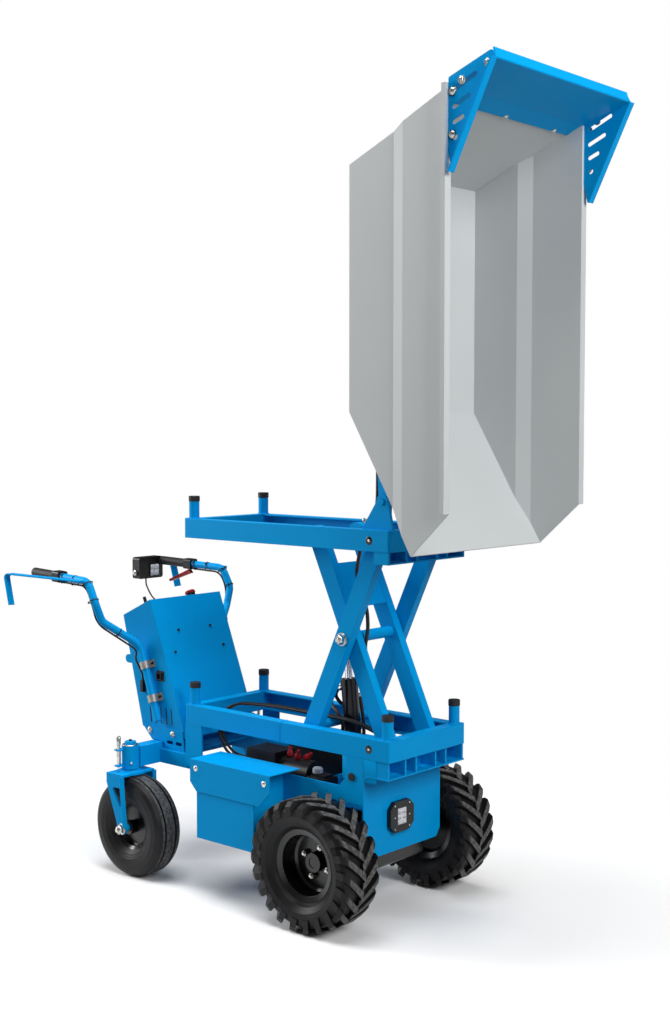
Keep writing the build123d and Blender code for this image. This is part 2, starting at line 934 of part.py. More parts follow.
def ribbed_section():
    """The caster tyre's outline, with a groove on each side of its middle rib."""
    outline = []
    for radius, y in tyre_section(caster_tyre_radius, caster_half, caster_rim_radius):
        outline.append((radius, y))
        if abs(radius - caster_tyre_radius + 1.5) < 0.01 and y < 0:
            middle = -caster_half * 0.4
            outline += [
                (caster_tyre_radius - 0.8, middle - groove_half),
                (caster_tyre_radius - groove_depth, middle - groove_half * 0.5),
                (caster_tyre_radius - groove_depth, middle + groove_half * 0.5),
                (caster_tyre_radius - 0.8, middle + groove_half),
            ]
        if abs(radius - caster_tyre_radius) < 0.01 and y > 0:
            middle = caster_half * 0.4
            outline += [
                (caster_tyre_radius - 0.8, middle - groove_half),
                (caster_tyre_radius - groove_depth, middle - groove_half * 0.5),
                (caster_tyre_radius - groove_depth, middle + groove_half * 0.5),
                (caster_tyre_radius - 0.8, middle + groove_half),
            ]
    return outline


caster_rim_section = (
    (11, -46),
    (24, -46),
    (24, -14),
    (62, -10),
    (caster_rim_radius - 10, -24),
    (caster_rim_radius, -34),
    (caster_rim_radius, 34),
    (caster_rim_radius - 10, 24),
    (62, 10),
    (24, 14),
    (24, 46),
    (11, 46),
)
pivot_tube_low = 362.0
pivot_tube_high = 442.0
fork_top = 354.0
fork_plate = 8.0
fork_inside = 64.0
fork_half = 42.0
fork_edge = 9.0
leg_end = 20.0
for name, sign in SIDES:
    place = (caster_wheel_x, sign * caster_half_track, caster_tyre_radius)
    save(y_revolve(ribbed_section(), place), f"caster_tyre_{name}")
    save(y_revolve(caster_rim_section, place), f"caster_rim_{name}")
    with BuildPart() as caster_fork:
        for leg in (1, -1):
            leg_y = sign * caster_half_track + leg * (fork_inside + fork_plate / 2)
            with BuildSketch(side_plane(leg_y)):
                with BuildLine():
                    Polyline(
                        (caster_x - fork_half, fork_top),
                        (caster_x + fork_half, fork_top),
                        (caster_x + fork_half, fork_top - 34),
                        (caster_wheel_x + leg_end, caster_tyre_radius),
                        (caster_wheel_x - leg_end, caster_tyre_radius),
                        (caster_x - fork_half, fork_top - 34),
                        close=True,
                    )
                make_face()
                with Locations((caster_wheel_x, caster_tyre_radius)):
                    Circle(leg_end)
            extrude(amount=fork_plate / 2, both=True)
            # the leg's front edge is bent outwards
            edge_y = sign * caster_half_track + leg * (fork_inside + fork_plate + fork_edge / 2)
            with BuildSketch(side_plane(edge_y)):
                Polygon(
                    (caster_x + fork_half - 5, fork_top - 6),
                    (caster_x + fork_half, fork_top - 6),
                    (caster_x + fork_half, fork_top - 34),
                    (caster_wheel_x + leg_end, caster_tyre_radius + 8),
                    (caster_wheel_x + leg_end - 5, caster_tyre_radius + 8),
                    (caster_x + fork_half - 5, fork_top - 34),
                    align=None,
                )
            extrude(amount=fork_edge / 2, both=True)
        # lightening hole through both legs, a rounded triangle
        with BuildSketch(side_plane(0)) as leg_hole:
            Polygon(
                (caster_x - 14, fork_top - 46),
                (caster_x + 34, fork_top - 46),
                (caster_wheel_x + 2, caster_tyre_radius + 54),
                align=None,
            )
            fillet(leg_hole.vertices(), 7)
        extrude(amount=2 * caster_half_track, both=True, mode=Mode.SUBTRACT)
        with BuildSketch(Plane.XY.offset(fork_top - fork_plate)):
            with Locations((caster_x, sign * caster_half_track)):
                RectangleRounded(2 * fork_half, 2 * (fork_inside + fork_plate), 18)
                Circle(fork_half + 8)
        extrude(amount=fork_plate)
        # bearing cup of the swivel, on the top plate
        with BuildSketch(Plane.XY.offset(fork_top - 1)):
            with Locations((caster_x, sign * caster_half_track)):
                Circle(fork_half - 4)
        extrude(amount=pivot_tube_low - fork_top - 1.5, taper=18)
        # axle bolt through both legs and the hub
        add_y_bar(
            caster_wheel_x,
            caster_tyre_radius,
            sign * caster_half_track - fork_inside - fork_plate - 8,
            sign * caster_half_track + fork_inside + fork_plate + 8,
            10.7,
        )
        # swivel pin up through the pivot tube
        with BuildSketch(Plane.XY.offset(fork_top - 1)):
            with Locations((caster_x, sign * caster_half_track)):
                Circle(15)
        extrude(amount=pivot_tube_high - fork_top + 9)
        with BuildSketch(Plane.XY.offset(pivot_tube_high + 2)):
            with Locations((caster_x, sign * caster_half_track)):
                RegularPolygon(20, 6)
        extrude(amount=12)
    save(caster_fork.part, f"caster_fork_{name}")

# ---------------------------------------------------------------- chassis

rail_top = chassis_rail_bottom + chassis_rail_height
with BuildPart() as chassis_rails:
    rail_outer = chassis_rail_half_track + chassis_rail_width / 2
    rail_inner = chassis_rail_half_track - chassis_rail_width / 2
    for _, sign in SIDES:
        add_box(
            (behind(chassis_rear_behind), at_back(housing_back + housing_length) - 1),
            sorted((sign * rail_inner, sign * rail_outer)),
            (chassis_rail_bottom, rail_top),
        )
        # leg plate up to the lift frame
        add_box(
            (at_back(frame_length), at_back(frame_length - 80)),
            sorted((sign * (rail_outer - 1), sign * (frame_half - 0.3))),
            (chassis_rail_bottom + 10, lower_bottom),
        )
        # swivel tube at the end of the rear cross tube
        with BuildSketch(Plane.XY.offset(pivot_tube_low)):
            with Locations((caster_x, sign * caster_half_track)):
                Circle(30)
        extrude(amount=pivot_tube_high - pivot_tube_low)
        with Locations((caster_x, sign * caster_half_track, (pivot_tube_low + pivot_tube_high) / 2)):
            Cylinder(15.4, 2 * pivot_tube_high, mode=Mode.SUBTRACT)
        add_box(
            (caster_x - 25, caster_x + 25),
            sorted((sign * rail_inner, sign * (caster_half_track - 24))),
            (chassis_rail_bottom, pivot_tube_high - 6),
        )
    add_box(
        (caster_x - 25, caster_x + 25),
        (-rail_inner - 1, rail_inner + 1),
        (chassis_rail_bottom, pivot_tube_high - 6),
    )
    # cross bar with the lift cylinder's lugs
    add_box(
        (at_back(lift_base_back + 80), at_back(lift_base_back + 40)),
        (-rail_inner - 1, rail_inner + 1),
        (chassis_rail_bottom, rail_top - 18),
    )
    for sign in (1, -1):
        with BuildSketch(side_plane(sign * lug_y)):
            with Locations(lift_base):
                Circle(lug_radius)
            with BuildLine():
                Polyline(
                    (lift_base[0] + lug_radius, lift_base[1]),
                    (lift_base[0] + lug_radius, chassis_rail_bottom),
                    (at_back(lift_base_back + 80), chassis_rail_bottom),
                    (at_back(lift_base_back + 80), rail_top - 19),
                    (lift_base[0] - eye_radius - 1, lift_base[1] - 14),
                    close=True,
                )
            make_face()
        extrude(amount=lug_thickness / 2, both=True)
save(chassis_rails.part, "chassis_rails")

housing_front = at_back(housing_back)
housing_rear = at_back(housing_back + housing_length)
side_sheet_y = tray_half_width - tray_wall / 2
with BuildPart() as front_housing:
    # front sheet, bent forwards at its top into the shelf under the cells
    with BuildSketch(side_plane(0)) as bent_sheet:
        with BuildLine():
            FilletPolyline(
                (housing_front, housing_bottom),
                (housing_front, shelf_bottom),
                (at_back(shelf_front_back), shelf_bottom),
                radius=housing_bend,
            )
            offset(amount=housing_wall, side=Side.LEFT)
        make_face()
    extrude(bent_sheet.sketch, amount=tray_half_width, both=True)
    # its lower corners are cut off
    for _, sign in SIDES:
        with BuildSketch(Plane.YZ.offset(housing_front - 2 * housing_wall)) as corner:
            Polygon(
                (sign * (tray_half_width + 1), housing_bottom - 1),
                (sign * (tray_half_width - 20), housing_bottom - 1),
                (sign * (tray_half_width + 1), housing_bottom + 28),
                align=None,
            )
        extrude(corner.sketch, amount=4 * housing_wall, mode=Mode.SUBTRACT)
    add_cells(lower_bottom, lower_bottom - shelf_bottom - 1, shelf_front_back + 2, back_wall_back)
    # drain hole in the shelf's middle cell
    with Locations((at_back(40), 0, shelf_bottom)):
        Cylinder(10, 4 * housing_wall, mode=Mode.SUBTRACT)
    plug_x = at_back(side_plate_plug_back)
    for _, sign in SIDES:
        # end plate that carries the corner of the lift frame
        add_box(
            (at_back(end_plate_rear_back), housing_front - 1),
            sorted((sign * (tray_half_width - tray_wall), sign * tray_half_width)),
            (end_plate_bottom, lower_bottom - seat_gap),
        )
        # side plate with a rounded ear for the plug
        with BuildSketch(side_plane(sign * side_sheet_y)) as side_sheet:
            Polygon(
                (housing_rear, side_plate_bottom),
                (housing_front - 1, side_plate_bottom),
                (housing_front - 1, shelf_bottom - housing_bend),
                (plug_x + side_plate_nose, side_plate_plug_height),
                (plug_x - side_plate_nose * 0.7, side_plate_plug_height + side_plate_nose * 0.7),
                (plug_x - 52, tray_side_top),
                (housing_rear, tray_side_top),
                align=None,
            )
            with Locations((plug_x, side_plate_plug_height)):
                Circle(side_plate_nose)
        extrude(side_sheet.sketch, amount=tray_wall / 2, both=True)
    # floor between the side plates, in line with the tray's floor
    add_box(
        (housing_rear, housing_front - 1),
        (-floor_half, floor_half),
        (tray_bottom, tray_bottom + tray_wall),
    )
save(front_housing.part, "front_housing")

with BuildPart() as housing_plugs:
    for _, sign in SIDES:
        face = sign * (tray_half_width + seat_gap)
        add_y_bar(plug_x, side_plate_plug_height, face, face + sign * 5, side_plate_nose - 4)
save(housing_plugs.part, "housing_plugs")

with BuildPart() as work_light:
    light_centre = (-22.0, 316.0)
    with BuildSketch(Plane.YZ.offset(housing_front + seat_gap)):
        with Locations(light_centre):
            light_outline = Rectangle(116, 96)
        chamfer(light_outline.vertices(), 22)
    extrude(amount=16)
    with BuildSketch(Plane.YZ.offset(housing_front + 12)):
        with Locations(light_centre):
            Rectangle(44, 54)
    extrude(amount=10, mode=Mode.SUBTRACT)
save(work_light.part, "work_light")

with BuildPart() as drive_axle:
    # one closed drive block with its two half shafts
    add_box(
        (axle_x - drive_half, axle_x + drive_half),
        (-floor_half, floor_half),
        (drive_bottom, tray_bottom - seat_gap),
    )
    fillet(drive_axle.edges().filter_by(Axis.Y), 14)
    hub_inner = wheel_y - hub_depth - 0.5
    add_y_bar(axle_x, axle_z, -hub_inner, hub_inner, 26)
    for _, sign in SIDES:
        add_y_bar(axle_x, axle_z, sign * (hub_inner - 1), sign * (wheel_y + 4), 15.7)
save(drive_axle.part, "drive_axle")

# ---------------------------------------------------------------- tray and power unit

with BuildPart() as component_tray:
    tray_front = housing_rear - seat_gap
    add_box(
        (at_back(tray_rear_back), tray_front),
        (-tray_half_width, tray_half_width),
        (tray_bottom, tray_bottom + tray_wall),
    )
    for _, sign in SIDES:
        add_box(
            (at_back(tray_rear_back), tray_front),
            sorted((sign * (tray_half_width - tray_wall), sign * tray_half_width)),
            (tray_bottom, tray_side_top),
        )
save(component_tray.part, "component_tray")

unit_outer = chassis_rail_half_track - chassis_rail_width / 2 - 12
unit_inner = 48.0
with BuildPart() as power_unit:
    add_box(
        (at_back(pump_rear_back), at_back(520)),
        (-unit_outer, -unit_inner),
        (tray_bottom + tray_wall + seat_gap, 470),
    )
    with Locations(Location((at_back(455), -(unit_outer + unit_inner) / 2, 412), (0, 90, 0))):
        Cylinder((unit_outer - unit_inner) / 2 - 6.5, 132)
save(power_unit.part, "power_unit")

with BuildPart() as control_block:
    add_box((at_back(640), at_back(385)), (unit_inner, unit_outer), (tray_bottom + tray_wall + 0.3, 455))
save(control_block.part, "control_block")

# ---------------------------------------------------------------- battery boxes

for name, sign in SIDES:
    with BuildPart() as battery_box:
        add_box(
            (at_back(battery_rear_back), at_back(battery_front_back)),
            sorted((sign * battery_inner, sign * battery_outer)),
            (battery_bottom, cover_top - cover_wall - 0.5),
        )
    save(battery_box.part, f"battery_box_{name}")
    with BuildPart() as battery_cover:
        face_plane = side_plane(sign * (battery_outer + 0.5 + cover_wall / 2))
        with BuildSketch(face_plane):
            with BuildLine():
                Polyline(
                    (at_back(cover_rear_back), cover_top),
                    (at_back(cover_front_back), cover_top),
                    (at_back(cover_front_back), cover_low + cover_chamfer),
                    (at_back(cover_front_back + cover_chamfer), cover_low),
                    (at_back(cover_rear_back - 30), cover_low),
                    (at_back(cover_rear_back), cover_low + 30),
                    close=True,
                )
            make_face()
        extrude(amount=cover_wall / 2, both=True)
        add_box(
            (at_back(cover_rear_back), at_back(cover_front_back)),
            sorted((sign * (battery_inner + 0.5), sign * (battery_outer + 1))),
            (cover_top - cover_wall, cover_top),
        )
    save(battery_cover.part, f"battery_cover_{name}")

# ---------------------------------------------------------------- console

with BuildPart() as console_box:
    with BuildSketch(side_plane(0)):
        with BuildLine():
            Polyline(
                (behind(console_front_low_behind), console_front_bottom),
                (behind(console_front_top_behind), console_front_top),
                (behind(console_rear_top_behind), console_rear_top),
                (behind(console_rear_low_behind), console_rear_bottom),
                close=True,
            )
        make_face()
    extrude(amount=console_half_width, both=True)
    # five upright vent slots low on each side
    for _, sign in SIDES:
        with BuildSketch(side_plane(sign * console_half_width)) as vents:
            for row in range(5):
                place = console_front_low_behind + 73 + 27 * row
                with Locations((behind(place), console_front_bottom + 64)):
                    SlotOverall(60, 7, rotation=96)
        extrude(vents.sketch, amount=2.5, both=True, mode=Mode.SUBTRACT)
    # hook plate on the rear edge
    hook_x = behind(console_rear_low_behind + 58)
    hook_z = console_rear_bottom + 228
    with BuildSketch(side_plane(-(console_half_width - 20))) as hook:
        with Locations((hook_x - 12, hook_z)):
            SlotOverall(84, 30)
    extrude(hook.sketch, amount=2.5, both=True)
save(console_box.part, "console_box")

with BuildPart() as console_bracket:
    step_behind = caster_pivot_behind - 32
    flap_top = 24.0
    flap_y = console_half_width + seat_gap + bracket_wall / 2
    for _, sign in SIDES:
        # side plate, lapping up over the console's foot
        with BuildSketch(side_plane(sign * flap_y)) as flap:
            with BuildLine():
                Polyline(
                    (behind(console_front_low_behind + 4), rail_top + seat_gap),
                    (behind(console_front_low_behind + 14), console_front_bottom + flap_top),
                    (behind(console_rear_low_behind - 1), console_rear_bottom + flap_top - 15),
                    (behind(chassis_rear_behind - 2), pivot_tube_high - 5.5),
                    (behind(step_behind), pivot_tube_high - 5.5),
                    (behind(step_behind), rail_top + seat_gap),
                    close=True,
                )
            make_face()
            for place in (55.0, 100.0):
                with Locations((behind(place), (rail_top + console_front_bottom) / 2)):
                    SlotOverall(32, 12, mode=Mode.SUBTRACT)
        extrude(flap.sketch, amount=bracket_wall / 2, both=True)
    # plate on the chassis rails, and the sill that the console stands on
    add_box(
        (behind(step_behind), behind(console_front_low_behind + 4)),
        (-flap_y, flap_y),
        (rail_top + seat_gap, rail_top + 6),
    )
    for place in (console_front_low_behind + 20, step_behind - 22):
        add_box(
            (behind(place + 16), behind(place)),
            (-flap_y, flap_y),
            (console_front_bottom - 8, console_front_bottom - seat_gap),
        )
save(console_bracket.part, "console_bracket")

console_angle = atan2(
    console_front_top - console_rear_top, console_rear_top_behind - console_front_top_behind
)


def on_console(share, y):
    """A plane on the sloping top of the console, share from its rear edge."""
    place = console_rear_top_behind + share * (console_front_top_behind - console_rear_top_behind)
    height = console_rear_top + share * (console_front_top - console_rear_top)
    normal = Vector(-sin(console_angle), 0, cos(console_angle))
    return Plane(origin=(behind(place), y, height), z_dir=normal)


with BuildPart() as console_controls:
    with BuildSketch(on_console(0.3, -0.55 * console_half_width).offset(0.3)):
        Circle(15)
    extrude(amount=10)
    with BuildSketch(on_console(0.3, -0.55 * console_half_width).offset(9)):
        Circle(6)
    extrude(amount=34)
    with BuildSketch(on_console(0.6, 0.5 * console_half_width).offset(0.3)):
        Circle(9)
    extrude(amount=12)
    with BuildSketch(on_console(0.6, 0.5 * console_half_width).offset(11)):
        Circle(17)
    extrude(amount=10)
save(console_controls.part, "console_controls")

# ---------------------------------------------------------------- handlebars

bar_gap = 6.0
clamp_wall = 4.0
clamp_ear = 19.0
bar_side = console_half_width + bar_radius + bar_gap
# (distance behind, distance from the middle, height) from the bottom to the grip's end
bar_route = (
    (143.0, bar_side, 511.0),
    (233.0, bar_side, 768.0),
    (304.0, 303.0, 857.0),
    (310.0, 328.0, 925.0),
    (350.0, 326.0, 996.0),
    (680.0, 308.0, 1006.0),
)
bar_bends = (70.0, 45.0, 60.0, 48.0)
guard_z = 997.0


def bar_point(index, sign):
    place, side, height = bar_route[index]
    return (behind(place), sign * side, height)


for name, sign in SIDES:
    points = [bar_point(index, sign) for index in range(len(bar_route))]
    end_dir = (Vector(*points[-1]) - Vector(*points[-2])).normalized()
    grip_start = Vector(*points[-1]) - end_dir * grip_length
    with BuildPart() as handlebar:
        with BuildLine() as path:
            FilletPolyline(*points[:-1], tuple(grip_start), radius=list(bar_bends))
        with BuildSketch(Plane(origin=points[0], z_dir=path.line % 0)):
            Circle(bar_radius)
        sweep(path=path.line)
        # flat hand guard, welded to the outside of the bend
        guard_start = (behind(362.0), sign * 346.0, guard_z)
        guard_corner = (behind(guard_tip_behind) + guard_thickness / 2, sign * 402.0, guard_z + 8)
        guard_end = (
            behind(guard_tip_behind) + guard_thickness / 2 + 32,
            sign * 404.0,
            guard_z + 8 - guard_drop,
        )
        with BuildLine() as guard_path:
            FilletPolyline(guard_start, guard_corner, guard_end, radius=14)
        guard_plane = Plane(
            origin=guard_start, z_dir=guard_path.line % 0, x_dir=(0, 1, 0)
        )
        with BuildSketch(guard_plane):
            Rectangle(guard_width, guard_thickness)
        sweep(path=guard_path.line)
    save(handlebar.part, f"handlebar_{name}")
    with BuildPart() as grip:
        with BuildSketch(Plane(origin=grip_start, z_dir=end_dir).offset(0.3)):
            Circle(grip_radius)
        extrude(amount=grip_length)
        fillet(grip.edges().filter_by(GeomType.CIRCLE).sort_by(Axis.X)[0:1], 6)
    save(grip.part, f"grip_{name}")

# the bar's straight lower leg, which the clamps hold to the console's side
leg_low = Vector(*bar_point(0, 1))
leg_dir = (Vector(*bar_point(1, 1)) - leg_low).normalized()
with BuildPart() as handlebar_clamps:
    for place in (80.0, 200.0):
        for _, sign in SIDES:
            middle = leg_low + leg_dir * place
            clamp_plane = Plane(
                origin=(middle.X, sign * middle.Y, middle.Z), z_dir=leg_dir, x_dir=(0, 1, 0)
            )
            with BuildSketch(clamp_plane) as saddle:
                # a strap round the bar with two ears flat on the console's side
                Circle(bar_radius + clamp_wall)
                with Locations((-sign * (bar_radius + bar_gap) / 2, 0)):
                    Rectangle(bar_radius + bar_gap - 0.6, 2 * (bar_radius + clamp_wall))
                with Locations((-sign * (bar_radius + bar_gap - clamp_wall / 2 - 0.3), 0)):
                    Rectangle(clamp_wall, 2 * (bar_radius + clamp_ear))
                Circle(bar_radius + 0.2, mode=Mode.SUBTRACT)
            extrude(saddle.sketch, amount=13, both=True)
save(handlebar_clamps.part, "handlebar_clamps")


def on_grip(sign, before_end):
    """A point on the handlebar's axis, this far ahead of its rear end."""
    end = Vector(*bar_point(-1, sign))
    return end - (end - Vector(*bar_point(-2, sign))).normalized() * before_end


for name, sign in SIDES:
    with BuildPart() as switch_block:
        end_dir = (on_grip(sign, 0) - on_grip(sign, 10)).normalized()
        with BuildSketch(Plane(origin=on_grip(sign, grip_length + 42), z_dir=end_dir)):
            RectangleRounded(42, 40, 8)
            Circle(bar_radius + 0.2, mode=Mode.SUBTRACT)
        extrude(amount=38)
    save(switch_block.part, f"switch_block_{name}")

with BuildPart() as brake_lever:
    lever_root = on_grip(1, grip_length + 22) - Vector(0, 0, 21)
    with BuildSketch(side_plane(lever_root.Y)):
        with BuildLine():
            Polyline(
                (lever_root.X, lever_root.Z),
                (lever_root.X + 14, lever_root.Z - 14),
                (lever_root.X - 112, lever_root.Z - 56),
                (lever_root.X - 116, lever_root.Z - 48),
                close=True,
            )
        make_face()
    extrude(amount=6, both=True)
save(brake_lever.part, "brake_lever")

with BuildPart() as display_unit:
    display_end = on_grip(1, -5 * seat_gap)
    add_box(
        (display_end.X - 40, display_end.X),
        (display_end.Y - 115, display_end.Y + 8),
        (display_end.Z - 68, display_end.Z + 17),
    )
    fillet(display_unit.edges().filter_by(Axis.X), 10)
save(display_unit.part, "display_unit")

# ---------------------------------------------------------------- hoses and cables


def arc_radii(route):
    """For each corner of a route, the largest arc that its two runs allow."""
    radii = []
    for before, corner, after in zip(route, route[1:], route[2:]):
        run_in = Vector(*corner) - Vector(*before)
        run_out = Vector(*after) - Vector(*corner)
        turn = radians(run_in.get_angle(run_out))
        radii.append(0.45 * min(run_in.length, run_out.length) / tan(turn / 2))
    return radii


def save_hose(route, diameter, name):
    """A round hose or cable: straight runs joined by tangent arcs."""
    radii = arc_radii(route)
    with BuildPart() as tube:
        with BuildLine() as path:
            FilletPolyline(*route, radius=radii)
        with BuildSketch(Plane(origin=route[0], z_dir=path.line % 0)):
            Circle(diameter / 2)
        sweep(path=path.line)
    print(name, "length", round(path.wires()[0].length), "arcs", [round(radius) for radius in radii])
    save(tube.part, name)


# pressure hoses from the pump, over the lower frame's rear and forwards through it
for number, shift in ((1, 0.0), (2, 12.0)):
    run_y = frame_hose_y + shift
    save_hose(
        [
            (at_back(rail_depth) - seat_gap, run_y, lower_mid + 4),
            (at_back(120), run_y, lower_mid + 6),
            (at_back(235), run_y, lower_frame_top + 5),
            (at_back(345), run_y, lower_frame_top + 13),
            (at_back(440), run_y, lower_frame_top + 11),
            (at_back(600), run_y, lower_frame_top + 13),
            (at_back(770), run_y - 14, lower_frame_top + 3),
            (at_back(828), run_y - 26, lower_mid + 3),
            (at_back(846), run_y - 30, lower_bottom - 44),
            (at_back(800), pump_y + 12 + 2 * shift, tray_side_top - 14),
            (at_back(pump_rear_back) - 2 * seat_gap, pump_y + 4 + 2 * shift, tray_side_top - 19),
        ],
        frame_hose_diameter,
        f"frame_hose_{number}",
    )


def beside_cylinder(base, eye, along, out, y):
    """A point beside a cylinder: along its axis from the base, out rearwards."""
    length = hypot(eye[0] - base[0], eye[1] - base[1])
    ux, uz = (eye[0] - base[0]) / length, (eye[1] - base[1]) / length
    return base[0] + along * ux - out * uz, y, base[1] + along * uz + out * ux


lift_eye = along_inner_arm(lift_eye_along, lift_eye_out)
port_in = lift_barrel_radius + seat_gap
for number, sign in ((1, 1), (2, -1)):
    save_hose(
        [
            beside_cylinder(lift_base, lift_eye, along, out, sign * y)
            for along, out, y in (
                (lift_barrel_length - 32, port_in, 7.0),
                (lift_barrel_length - 34, port_in + 26, 7.0),
                (240.0, 76.0, 10.0),
                (212.0, 66.0, 22.0),
                (192.0, 31.0, 33.0),
                (165.0, 12.0, 34.0),
                (136.0, 12.0, 34.0),
                (110.0, 35.0, 25.0),
                (90.0, 54.0, 12.0),
                (62.0, 58.0, 8.0),
                (62.0, port_in, 8.0),
            )
        ],
        hose_diameter,
        f"lift_hose_{number}",
    )
save_hose(
    [
        beside_cylinder(lift_base, lift_eye, along, out, y)
        for along, out, y in (
            (236.0, 0.0, port_in),
            (236.0, 0.0, port_in + 19),
            (150.0, -8.0, port_in + 20),
            (62.0, 0.0, port_in + 19),
            (62.0, 0.0, port_in),
        )
    ],
    hose_diameter,
    "lift_hose_3",
)

# hose that hangs from the upper frame, its coupling, and its run inside the near inner arm
deck_hose_y = -(inner_arm_face - 14)
tip_lug_face = lug_y + lug_thickness / 2
save_hose(
    [
        (at_back(tip_base_back), -tip_lug_face - seat_gap, tip_lug_z + 4),
        (at_back(tip_base_back), -tip_lug_face - 19, tip_lug_z + 4),
        (at_back(216), deck_hose_y, upper_bottom + 3),
        (at_back(220), deck_hose_y, upper_bottom - 15),
    ],
    hose_diameter,
    "deck_hose_top",
)
save_hose(
    [
        (at_back(220) - seat_gap / 4, deck_hose_y, upper_bottom - 15 - seat_gap),
        (at_back(237), deck_hose_y, upper_bottom - 92),
        (at_back(190), deck_hose_y, upper_bottom - 193),
        (at_back(185), deck_hose_y, centre_z + 24),
        (at_back(201), deck_hose_y, centre_z - 37),
        (at_back(130), deck_hose_y, lower_frame_top + 70),
        (at_back(113), deck_hose_y, lower_frame_top + 44),
        (at_back(113), -inner_arm_face + seat_gap, lower_frame_top + 44),
    ],
    hose_diameter,
    "deck_hose",
)

# hose down the side of the tip cylinder
tip_port = tip_barrel_radius + seat_gap
save_hose(
    [
        beside_cylinder(tip_base, tip_eye, along, out, -y)
        for along, out, y in (
            (276.0, 0.0, tip_port),
            (276.0, 0.0, tip_port + 18),
            (200.0, 3.0, tip_port + 11),
            (110.0, -2.0, tip_port + 12),
            (45.0, 4.0, tip_port + 17),
            (45.0, 4.0, tip_port),
        )
    ],
    hose_diameter,
    "tip_hose",
)

# switch cables, under the handlebars and down to a plug on the console's side
plug_behind = 236.0
plug_half = 7.0
plug_low = 601.0
plug_high = 642.0
plug_face = console_half_width + seat_gap
with BuildPart() as cable_plugs:
    for _, sign in SIDES:
        add_box(
            (behind(plug_behind + plug_half), behind(plug_behind - plug_half)),
            sorted((sign * plug_face, sign * (plug_face + 14))),
            (plug_low, plug_high),
        )
save(cable_plugs.part, "cable_plugs")

block_front = grip_length + 42
under_bar = bar_radius + cable_diameter / 2 + 1
for name, sign in SIDES:
    start = on_grip(sign, block_front) + Vector(seat_gap, 0, -under_bar)
    save_hose(
        [
            (start.X, start.Y, start.Z),
            (behind(362), sign * 325, bar_route[4][2] - under_bar),
            (behind(329), sign * 326, 918.0),
            (behind(321), sign * 311, 847.0),
            (behind(241), sign * 199, 751.0),
            (behind(264), sign * 187, 716.0),
            (behind(254), sign * (plug_face + 9), 690.0),
            (behind(plug_behind), sign * (plug_face + 7), plug_high + 18),
            (behind(plug_behind), sign * (plug_face + 7), plug_high + seat_gap),
        ],
        cable_diameter,
        f"handle_cable_{name}",
    )

# cable from the display down to the console's top
cable_end = on_console(0.19, -24).offset(seat_gap)
cable_rise = cable_end.offset(16)
save_hose(
    [
        (display_end.X - 20, display_end.Y - 63, display_end.Z - 68 - seat_gap),
        (display_end.X - 20, display_end.Y - 63, display_end.Z - 92),
        (behind(640), 205.0, 896.0),
        (behind(540), 135.0, 886.0),
        (behind(438), 60.0, 890.0),
        (behind(352), -6.0, 898.0),
        tuple(cable_rise.origin),
        tuple(cable_end.origin),
    ],
    cable_diameter - 1,
    "display_cable",
)
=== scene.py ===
"""Looks for the walk-behind site dumper: finishes, fasteners, welds, lamps and hose fittings.

Metres, in the machine's own frame: +X forward, +Y left, +Z up, origin on the floor.
"""

import json
import math

import bmesh
import bpy
from mathutils import Matrix, Vector


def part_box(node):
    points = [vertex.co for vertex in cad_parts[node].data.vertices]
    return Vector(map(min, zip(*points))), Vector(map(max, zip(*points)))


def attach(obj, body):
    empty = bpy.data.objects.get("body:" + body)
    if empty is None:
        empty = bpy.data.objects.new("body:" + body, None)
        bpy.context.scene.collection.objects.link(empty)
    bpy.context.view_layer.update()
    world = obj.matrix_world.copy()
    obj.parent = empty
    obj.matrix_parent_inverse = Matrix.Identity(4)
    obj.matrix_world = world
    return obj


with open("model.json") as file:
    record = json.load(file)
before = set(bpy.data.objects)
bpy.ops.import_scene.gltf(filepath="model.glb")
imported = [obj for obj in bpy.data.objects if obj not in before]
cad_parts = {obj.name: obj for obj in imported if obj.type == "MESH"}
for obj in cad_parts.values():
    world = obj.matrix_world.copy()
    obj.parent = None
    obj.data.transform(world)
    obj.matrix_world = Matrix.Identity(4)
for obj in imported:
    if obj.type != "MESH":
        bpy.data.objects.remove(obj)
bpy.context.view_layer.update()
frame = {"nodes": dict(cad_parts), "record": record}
NODES = frame["nodes"]
SCENE = bpy.context.scene

# ------------------------------------------------------------------ small helpers


def deselect():
    for thing in bpy.context.selected_objects:
        thing.select_set(False)


deselect()


def activate(piece):
    """Selects this piece alone."""
    deselect()
    piece.select_set(True)
    bpy.context.view_layer.objects.active = piece
    return piece


# ------------------------------------------------------------------ datums

UP, NEAR, FAR, AHEAD = Vector((0, 0, 1)), Vector((0, -1, 0)), Vector((0, 1, 0)), Vector((1, 0, 0))

# the two lift frames share their plan; heights are of the rails' faces
REAR, FRONT = (corner.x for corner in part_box("lower_frame"))
FRAME_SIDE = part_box("lower_frame")[1].y
LOWER_BOTTOM, LOWER_TOP, UPPER_TOP = 0.524, 0.589, 1.226
PIVOT_X, LOWER_PIVOT_Z, UPPER_PIVOT_Z = FRONT - 0.080, 0.5565, 1.1935
POST_INSET, REAR_POST_BACK = 0.025, 0.875

AXLE = Vector((FRONT - 0.210, 0.297, 0.205))
CASTER = Vector((FRONT - 1.062, 0.300, 0.442))
CASTER_AXLE = Vector((CASTER.x + 0.037, 0.300, 0.170))
SKIP_FLOOR, SKIP_FOOT = FRONT - 0.0575, UPPER_TOP + 0.085


def behind(distance):
    return REAR - distance


def on_skip(y, ahead, up):
    """A place on the tipped skip, ahead of its floor and up from its foot."""
    return (SKIP_FLOOR + ahead, y, SKIP_FOOT + up)


def both_sides(points):
    """Each point at its side and mirrored, with the direction away from the middle."""
    return [
        (Vector((x, side * y, z)), side * FAR)
        for x, y, z in points
        for side in (-1, 1)
    ]


def between(first, second, share):
    return Vector(first).lerp(Vector(second), share)


# ------------------------------------------------------------------ shader maths


